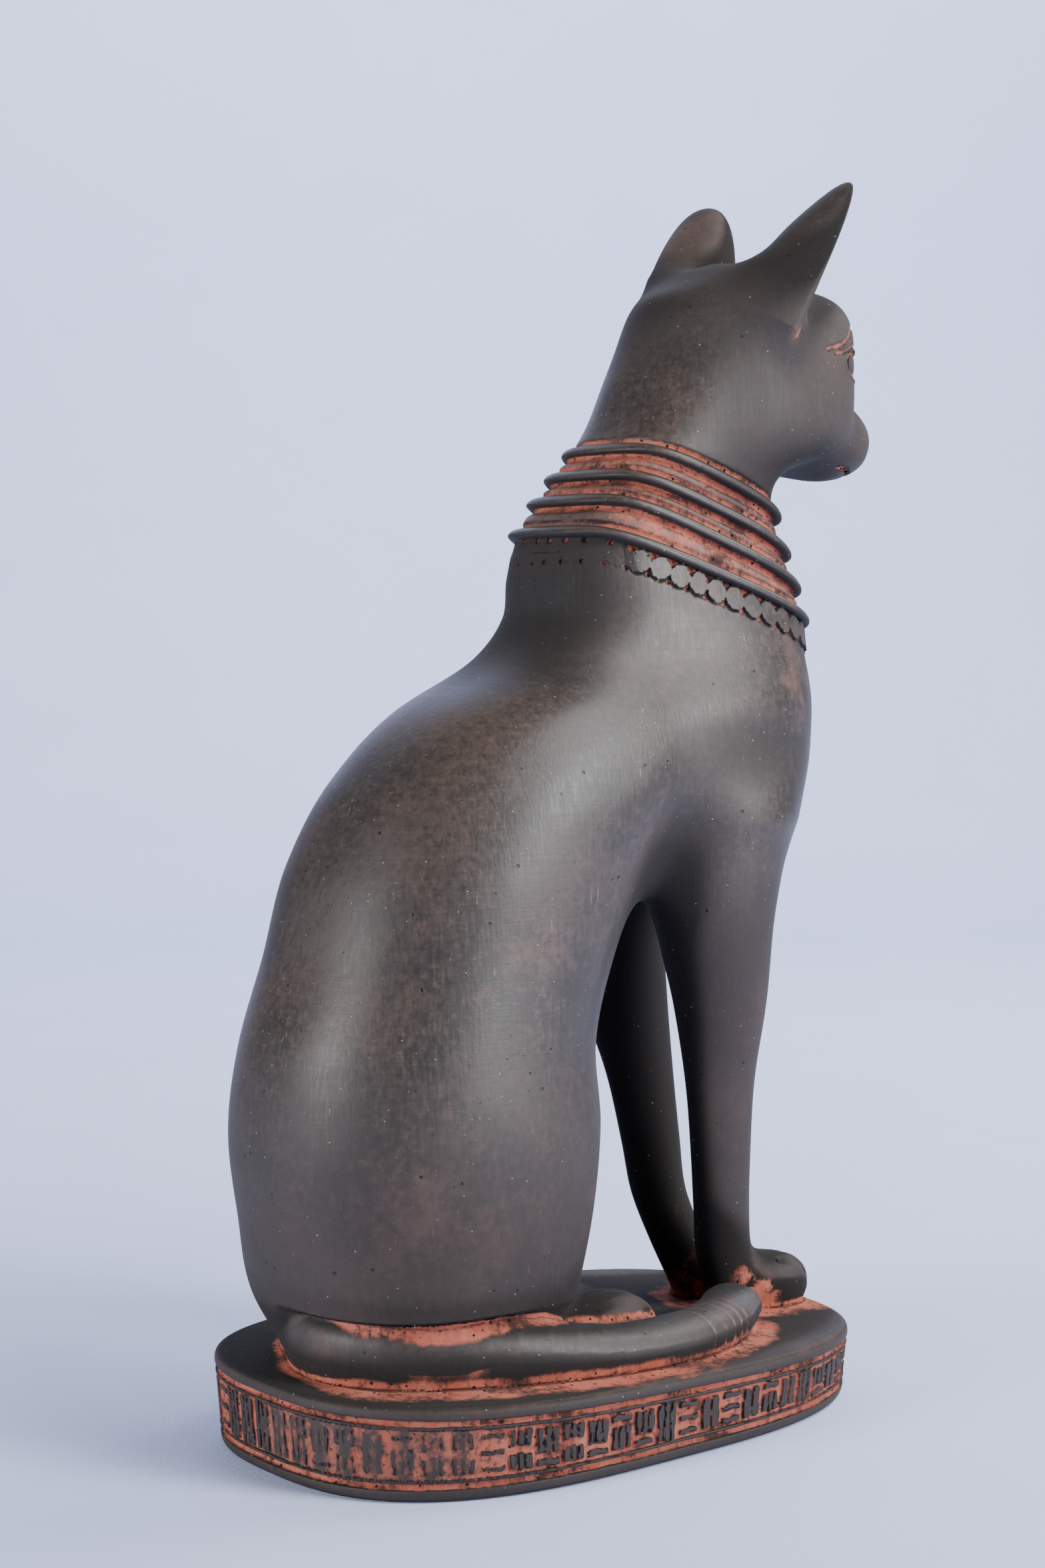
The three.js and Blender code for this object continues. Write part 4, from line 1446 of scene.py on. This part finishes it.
def fill_pinholes(graph: Graph, given: dict) -> dict:
    """Lays out round holes in a few of the cells that space is split into.

    Args:
        graph: The group's graph.
        given: The group's input sockets by name.

    Returns:
        The group's outputs by name.
    """
    cells = graph.add("ShaderNodeTexVoronoi", {"Vector": given["Place"], "Scale": given["Spacing"]})
    chance = graph.add("ShaderNodeSeparateColor", {0: cells.outputs["Color"]})
    chosen = graph.math("LESS_THAN", chance.outputs[0], given["Share"])
    size = graph.math("MULTIPLY", given["Radius"], graph.math("ADD", chance.outputs[1], 0.5))
    depth = graph.math("SUBTRACT", size, cells.outputs["Distance"])
    edge = graph.math("DIVIDE", depth, graph.math("MULTIPLY", size, 0.3), clamp=True)
    return {"Hole": graph.math("MULTIPLY", edge, chosen)}


def fill_brushed(graph: Graph, given: dict) -> dict:
    """Lays out fine level and upright rub marks, as a cloth and brush leave them.

    Args:
        graph: The group's graph.
        given: The group's input sockets by name.

    Returns:
        The group's outputs by name.
    """
    sized = graph.add(
        "ShaderNodeVectorMath", {0: given["Place"], "Scale": given["Fineness"]}, operation="SCALE")
    marks = {"Level": (60.0, 60.0, 1900.0), "Upright": (1300.0, 1300.0, 55.0)}
    return {
        name: graph.noise(graph.scaled(sized.outputs[0], way), 1.0, 2.0, 0.6)
        for name, way in marks.items()
    }


PINHOLES = EffectGroup(
    "air pinholes",
    (("Place", "NodeSocketVector", None), ("Spacing", "NodeSocketFloat", 120.0),
     ("Share", "NodeSocketFloat", 0.1), ("Radius", "NodeSocketFloat", 0.1)),
    (("Hole", "NodeSocketFloat"),))
BRUSHED = EffectGroup(
    "brushed marks",
    (("Place", "NodeSocketVector", None), ("Fineness", "NodeSocketFloat", 1.0)),
    (("Level", "NodeSocketFloat"), ("Upright", "NodeSocketFloat")))


@dataclass(frozen=True)
class Patina:
    """Dark waxed patina over red casting stone, rubbed through and full of pinholes, with painted shade in
    closed-in places, in the deepest recesses, low down and on the face.
    """

    name: str = "waxed brown patina"
    dark: tuple = (0.028, 0.0235, 0.021, 1.0)
    brown: tuple = (0.066, 0.046, 0.038, 1.0)
    thin: tuple = (0.16, 0.088, 0.07, 1.0)
    # painted shade: near-black mixed in where the figure closes in round a point
    painted_shade: tuple = (0.007, 0.005, 0.0045, 1.0)
    red: tuple = (0.34, 0.082, 0.048, 1.0)
    pale_red: tuple = (0.46, 0.155, 0.105, 1.0)
    grime: tuple = (0.062, 0.022, 0.016, 1.0)
    # the pinholes' near-black, also painted as shade in the deepest recesses
    hole: tuple = (0.003, 0.002, 0.002, 1.0)
    dust: tuple = (0.5, 0.44, 0.4, 1.0)
    # painted shade: mixed in low down, on the forelegs, on the face and on the plinth's top, where the finish
    # is unbuffed
    dull_shade: tuple = (0.02, 0.0125, 0.01, 1.0)
    gloss: float = 0.42
    specular: float = 0.44
    # noises: scale, detail and roughness
    cloud: tuple = (24.0, 4.0, 0.6)
    patch: tuple = (75.0, 5.0, 0.62)
    mottle: tuple = (520.0, 5.0, 0.7)
    drift: tuple = (95.0, 3.0, 0.5)
    # dots: cells a metre, share of the cells that hold one, its size in cells
    air_holes: tuple = (255.0, 0.3, 0.1)
    red_pits: tuple = (560.0, 0.5, 0.2)
    lint: tuple = (480.0, 0.5, 0.07)
    # where each effect starts and where it ends
    brown_range: tuple = (0.3, 0.75)
    worn_range: tuple = (0.18, 0.95)
    rub_range: tuple = (0.1, 0.42)
    scratch_range: tuple = (0.735, 0.77)
    closed_range: tuple = (0.09, 0.4)
    seam_range: tuple = (1.7, 3.3)
    groove_range: tuple = (-0.42, -0.12)
    patch_range: tuple = (0.75, 1.05)
    pale_range: tuple = (-0.2, 0.3)
    soot_range: tuple = (-0.1, 0.22)
    crack_range: tuple = (0.05, 0.4)
    deep_shade_range: tuple = (-1.05, -0.8)

    def build(self) -> bpy.types.Material:
        """Makes the material.

        Returns:
            The material.
        """
        material = bpy.data.materials.new(self.name)
        material.use_nodes = True
        graph = Graph(material.node_tree)
        place = graph.add("ShaderNodeTexCoord").outputs["Object"]
        relief, seam, stain, shade, matte_and_shade = (graph.mark(mark) for mark in Mark)

        brushed = graph.add("ShaderNodeGroup", node_tree=BRUSHED.build(fill_brushed))
        graph.put(brushed.inputs["Place"], place)
        brushed.inputs["Fineness"].default_value = 1.0
        streak = graph.math("SUBTRACT", graph.total(brushed.outputs[1], (brushed.outputs[0], 0.5)), 0.75)
        cloud = graph.noise(place, *self.cloud)
        patch, mottle, drift = (
            graph.math("SUBTRACT", graph.noise(place, *kind), 0.5)
            for kind in (self.patch, self.mottle, self.drift))

        tone = graph.total(cloud, (mottle, 0.9), (streak, 0.35))
        colour = graph.mix(graph.ramp(tone, *self.brown_range), self.dark, self.brown)
        worn = graph.total(stain, (patch, 1.5), (mottle, 0.5))
        colour = graph.mix(graph.ramp(worn, *self.worn_range), colour, self.thin)
        rubbed = graph.ramp(graph.total(mottle, (streak, 0.8)), *self.rub_range)
        colour = graph.mix(graph.math("MULTIPLY", rubbed, 0.32), colour, self.thin)
        scratch = graph.ramp(brushed.outputs[1], *self.scratch_range)
        colour = graph.mix(graph.math("MULTIPLY", scratch, 0.3), colour, self.dust)
        # painted shade: the unbuffed places low down, on the forelegs, on the face and on the plinth's top
        # are darkened
        colour = graph.mix(graph.math("MULTIPLY", matte_and_shade, 0.72), colour, self.dull_shade)
        # painted shade: closed-in places turn near-black; the same mask makes them rougher below
        closed = graph.math("MULTIPLY", graph.ramp(shade, *self.closed_range), 0.92)
        colour = graph.mix(closed, colour, self.painted_shade)

        blotch = graph.math("ADD", mottle, patch)
        spread = graph.total(graph.math("MULTIPLY", mottle, 1.7), (drift, 3.4))
        seam_red = graph.ramp(graph.total(seam, (spread, 1.0), (stain, -1.5)), *self.seam_range, 1.0, 0.0)
        depth = graph.total(relief, (mottle, 0.55), (patch, 0.5))
        groove_red = graph.ramp(depth, *self.groove_range, 1.0, 0.0)
        patch_red = graph.ramp(graph.math("ADD", stain, blotch), *self.patch_range)
        redness = graph.math("MAXIMUM", graph.math("MAXIMUM", seam_red, groove_red), patch_red)
        ground = graph.mix(graph.ramp(blotch, *self.pale_range), self.red, self.pale_red)
        soot = graph.total(mottle, (drift, 1.0), (streak, 0.3))
        ground = graph.mix(graph.ramp(soot, *self.soot_range), ground, self.grime)
        colour = graph.mix(redness, colour, ground)
        crack = graph.ramp(graph.total(seam, (mottle, 0.7)), *self.crack_range, 0.85, 0.0)
        colour = graph.mix(crack, colour, self.grime)
        # painted shade: the deepest recesses turn the pinholes' near-black
        deep_shade = graph.ramp(graph.total(relief, (mottle, 0.9)), *self.deep_shade_range, 1.0, 0.0)
        colour = graph.mix(deep_shade, colour, self.hole)

        group = PINHOLES.build(fill_pinholes)
        holes = self.scatter(graph, group, place, self.air_holes)
        pits = self.scatter(graph, group, place, self.red_pits)
        lint = self.scatter(graph, group, graph.scaled(place, (1.0, 0.97, 1.05)), self.lint)
        hole = graph.math("MAXIMUM", holes, graph.math("MULTIPLY", pits, redness))
        colour = graph.mix(hole, colour, self.hole)
        colour = graph.mix(graph.math("MULTIPLY", lint, 0.55), colour, self.dust)

        rough = graph.total(
            self.gloss, (streak, 0.24), (mottle, 0.16), (redness, 0.3), (stain, 0.12), (matte_and_shade, 0.27))
        rough = graph.math("ADD", rough, graph.math("MULTIPLY", closed, 0.4), clamp=True)
        bumps = graph.total(
            graph.math("MULTIPLY", streak, 0.35), (mottle, 0.45), (mottle, redness), (hole, -2.0))
        bump = graph.add("ShaderNodeBump", {"Height": bumps, "Strength": 0.5, "Distance": 0.00025})
        shader = graph.add(
            "ShaderNodeBsdfPrincipled",
            {"Base Color": colour, "Roughness": rough, "Normal": bump.outputs[0]})
        shader.inputs["Specular IOR Level"].default_value = self.specular
        graph.add("ShaderNodeOutputMaterial", {0: shader.outputs[0]})
        return material

    @staticmethod
    def scatter(
        graph: Graph, group: bpy.types.NodeTree, place: object, spread: tuple,
    ) -> bpy.types.NodeSocket:
        """Adds scattered dots.

        Args:
            graph: The material's graph.
            group: The dots' node group.
            place: Where to look them up.
            spread: Cells a metre, share of cells that hold one, its size in cells.

        Returns:
            The dots' mask.
        """
        node = graph.add("ShaderNodeGroup", node_tree=group)
        graph.put(node.inputs["Place"], place)
        for name, value in zip(("Spacing", "Share", "Radius"), spread):
            node.inputs[name].default_value = value
        return node.outputs[0]


@dataclass(frozen=True)
class Paper:
    """The matt pale paper of the sweep."""

    name: str = "pale paper"
    colour: tuple = (0.58, 0.655, 0.945, 1.0)
    darker: float = 0.93
    cloud: tuple = (14.0, 3.0, 0.5)
    weave: tuple = (900.0, 3.0, 0.6)
    roughness: float = 0.9
    specular: float = 0.15

    def build(self) -> bpy.types.Material:
        """Makes the material.

        Returns:
            The material.
        """
        material = bpy.data.materials.new(self.name)
        material.use_nodes = True
        graph = Graph(material.node_tree)
        place = graph.add("ShaderNodeTexCoord").outputs["Object"]
        darker = tuple(self.darker * c for c in self.colour[:3]) + (1.0,)
        colour = graph.mix(graph.noise(place, *self.cloud), self.colour, darker)
        weave = graph.noise(place, *self.weave)
        bump = graph.add("ShaderNodeBump", {"Height": weave, "Strength": 0.25, "Distance": 0.0004})
        shader = graph.add("ShaderNodeBsdfPrincipled", {"Base Color": colour, "Normal": bump.outputs[0]})
        shader.inputs["Roughness"].default_value = self.roughness
        shader.inputs["Specular IOR Level"].default_value = self.specular
        graph.add("ShaderNodeOutputMaterial", {0: shader.outputs[0]})
        return material


@dataclass(frozen=True)
class Softbox:
    """A soft light: its direction from the figure, size in metres and power in watts."""

    name: str
    azimuth: float
    elevation: float
    size: tuple
    power: float

    def back(self) -> Vector:
        """Gives the direction from the figure to the light."""
        a, e = math.radians(self.azimuth), math.radians(self.elevation)
        return Vector((math.sin(a) * math.cos(e), -math.cos(a) * math.cos(e), math.sin(e)))

    def hang(self, place: Vector, toward: Vector) -> None:
        """Hangs the light.

        Args:
            place: Where it hangs.
            toward: The direction that it faces.
        """
        data = bpy.data.lights.new(self.name, "AREA")
        data.shape = "RECTANGLE"
        data.size, data.size_y = self.size
        data.energy = self.power
        lamp = bpy.data.objects.new(self.name, data)
        lamp.location = place
        lamp.rotation_mode = "QUATERNION"
        lamp.rotation_quaternion = toward.to_track_quat("-Z", "Y")
        bpy.context.scene.collection.objects.link(lamp)


@dataclass(frozen=True)
class Studio:
    """The pale sweep, the soft lights and the camera of the photograph."""

    camera_place: tuple = (-0.5074, 0.4099, 0.1939)
    camera_right: tuple = (-0.6241, -0.7813, -0.0047)
    camera_up: tuple = (0.0427, -0.0401, 0.9983)
    lens: float = 61.22
    film_width: float = 36.0
    away: tuple = (0.7802, -0.6228, 0.0)
    sweep_back: float = 1.5
    sweep_radius: float = 0.5
    sweep_half: float = 1.3
    sweep_front: float = 1.1
    sweep_height: float = 3.0
    sweep_steps: int = 24
    softboxes: tuple = (
        Softbox("left_softbox", 175.0, 8.0, (0.34, 0.5), 14.5),
        Softbox("right_softbox", 297.0, 16.0, (0.32, 0.55), 15.5),
        Softbox("high_softbox", 294.0, 47.0, (0.5, 0.5), 9.0),
        Softbox("front_softbox", 352.0, 42.0, (0.5, 0.5), 7.5),
    )
    softbox_reach: float = 1.1
    aim_height: float = 0.15
    backdrop_light: Softbox = Softbox("backdrop_light", 0.0, 0.0, (1.8, 0.3), 29.0)
    backdrop_ahead: float = 0.5
    backdrop_height: float = 1.15
    backdrop_tilt: float = 0.6
    surround: tuple = (0.62, 0.67, 0.78, 1.0)
    surround_strength: float = 0.09

    def sweep(self, material: bpy.types.Material) -> None:
        """Makes the floor that turns up into the backdrop behind the figure.

        Args:
            material: Its finish.
        """
        away = Vector(self.away).normalized()
        side = Vector((away.y, -away.x, 0.0))
        profile = [(-self.sweep_front, 0.0), (self.sweep_back - self.sweep_radius, 0.0)]
        for i in range(1, self.sweep_steps + 1):
            turn = math.pi / 2.0 * i / self.sweep_steps
            run = self.sweep_back - self.sweep_radius + self.sweep_radius * math.sin(turn)
            profile.append((run, self.sweep_radius * (1.0 - math.cos(turn))))
        profile.append((self.sweep_back, self.sweep_height))
        points = []
        for run, rise in profile:
            for hand in (-1.0, 1.0):
                at = away * run + side * (hand * self.sweep_half)
                points.append((at.x, at.y, rise))
        faces = np.array([[2 * i, 2 * i + 1, 2 * i + 3, 2 * i + 2] for i in range(len(profile) - 1)])
        mesh = new_mesh("pale_sweep", np.array(points), faces)
        mesh.polygons.foreach_set("use_smooth", np.ones(len(mesh.polygons), bool))
        mesh.materials.append(material)
        sweep = bpy.data.objects.new("pale_sweep", mesh)
        bpy.context.scene.collection.objects.link(sweep)

    def light(self) -> None:
        """Sets the soft lights and a dim even surround."""
        for softbox in self.softboxes:
            back = softbox.back()
            softbox.hang(Vector((0.0, 0.0, self.aim_height)) + back * self.softbox_reach, -back)
        away = Vector(self.away).normalized()
        self.backdrop_light.hang(
            away * self.backdrop_ahead + Vector((0.0, 0.0, self.backdrop_height)),
            away - Vector((0.0, 0.0, self.backdrop_tilt)))
        world = bpy.data.worlds.new("studio")
        bpy.context.scene.world = world
        world.use_nodes = True
        graph = Graph(world.node_tree)
        shade = graph.add("ShaderNodeBackground")
        shade.inputs[0].default_value = self.surround
        shade.inputs[1].default_value = self.surround_strength
        graph.add("ShaderNodeOutputWorld", {0: shade.outputs[0]})

    def aim(self) -> None:
        """Sets up the camera as the photograph was taken."""
        data = bpy.data.cameras.new("photo_camera")
        data.lens = self.lens
        data.sensor_width = self.film_width
        data.clip_start, data.clip_end = 0.01, 50.0
        camera = bpy.data.objects.new("photo_camera", data)
        right, up = Vector(self.camera_right).normalized(), Vector(self.camera_up).normalized()
        back = right.cross(up).normalized()
        up = back.cross(right)
        turn = Matrix((right, up, back)).transposed().to_4x4()
        camera.matrix_world = Matrix.Translation(self.camera_place) @ turn
        bpy.context.scene.collection.objects.link(camera)
        bpy.context.scene.camera = camera


def main() -> None:
    """Builds the studio and the figure, and reports each piece."""
    logging.basicConfig(level=logging.INFO, format="%(name)s: %(message)s")
    studio = Studio()
    studio.sweep(Paper().build())
    studio.light()
    studio.aim()
    LOG.info("studio ready")
    casting = Casting().build(Patina().build())
    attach(casting, "root")
    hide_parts(NODE)


if __name__ == "__main__":
    main()
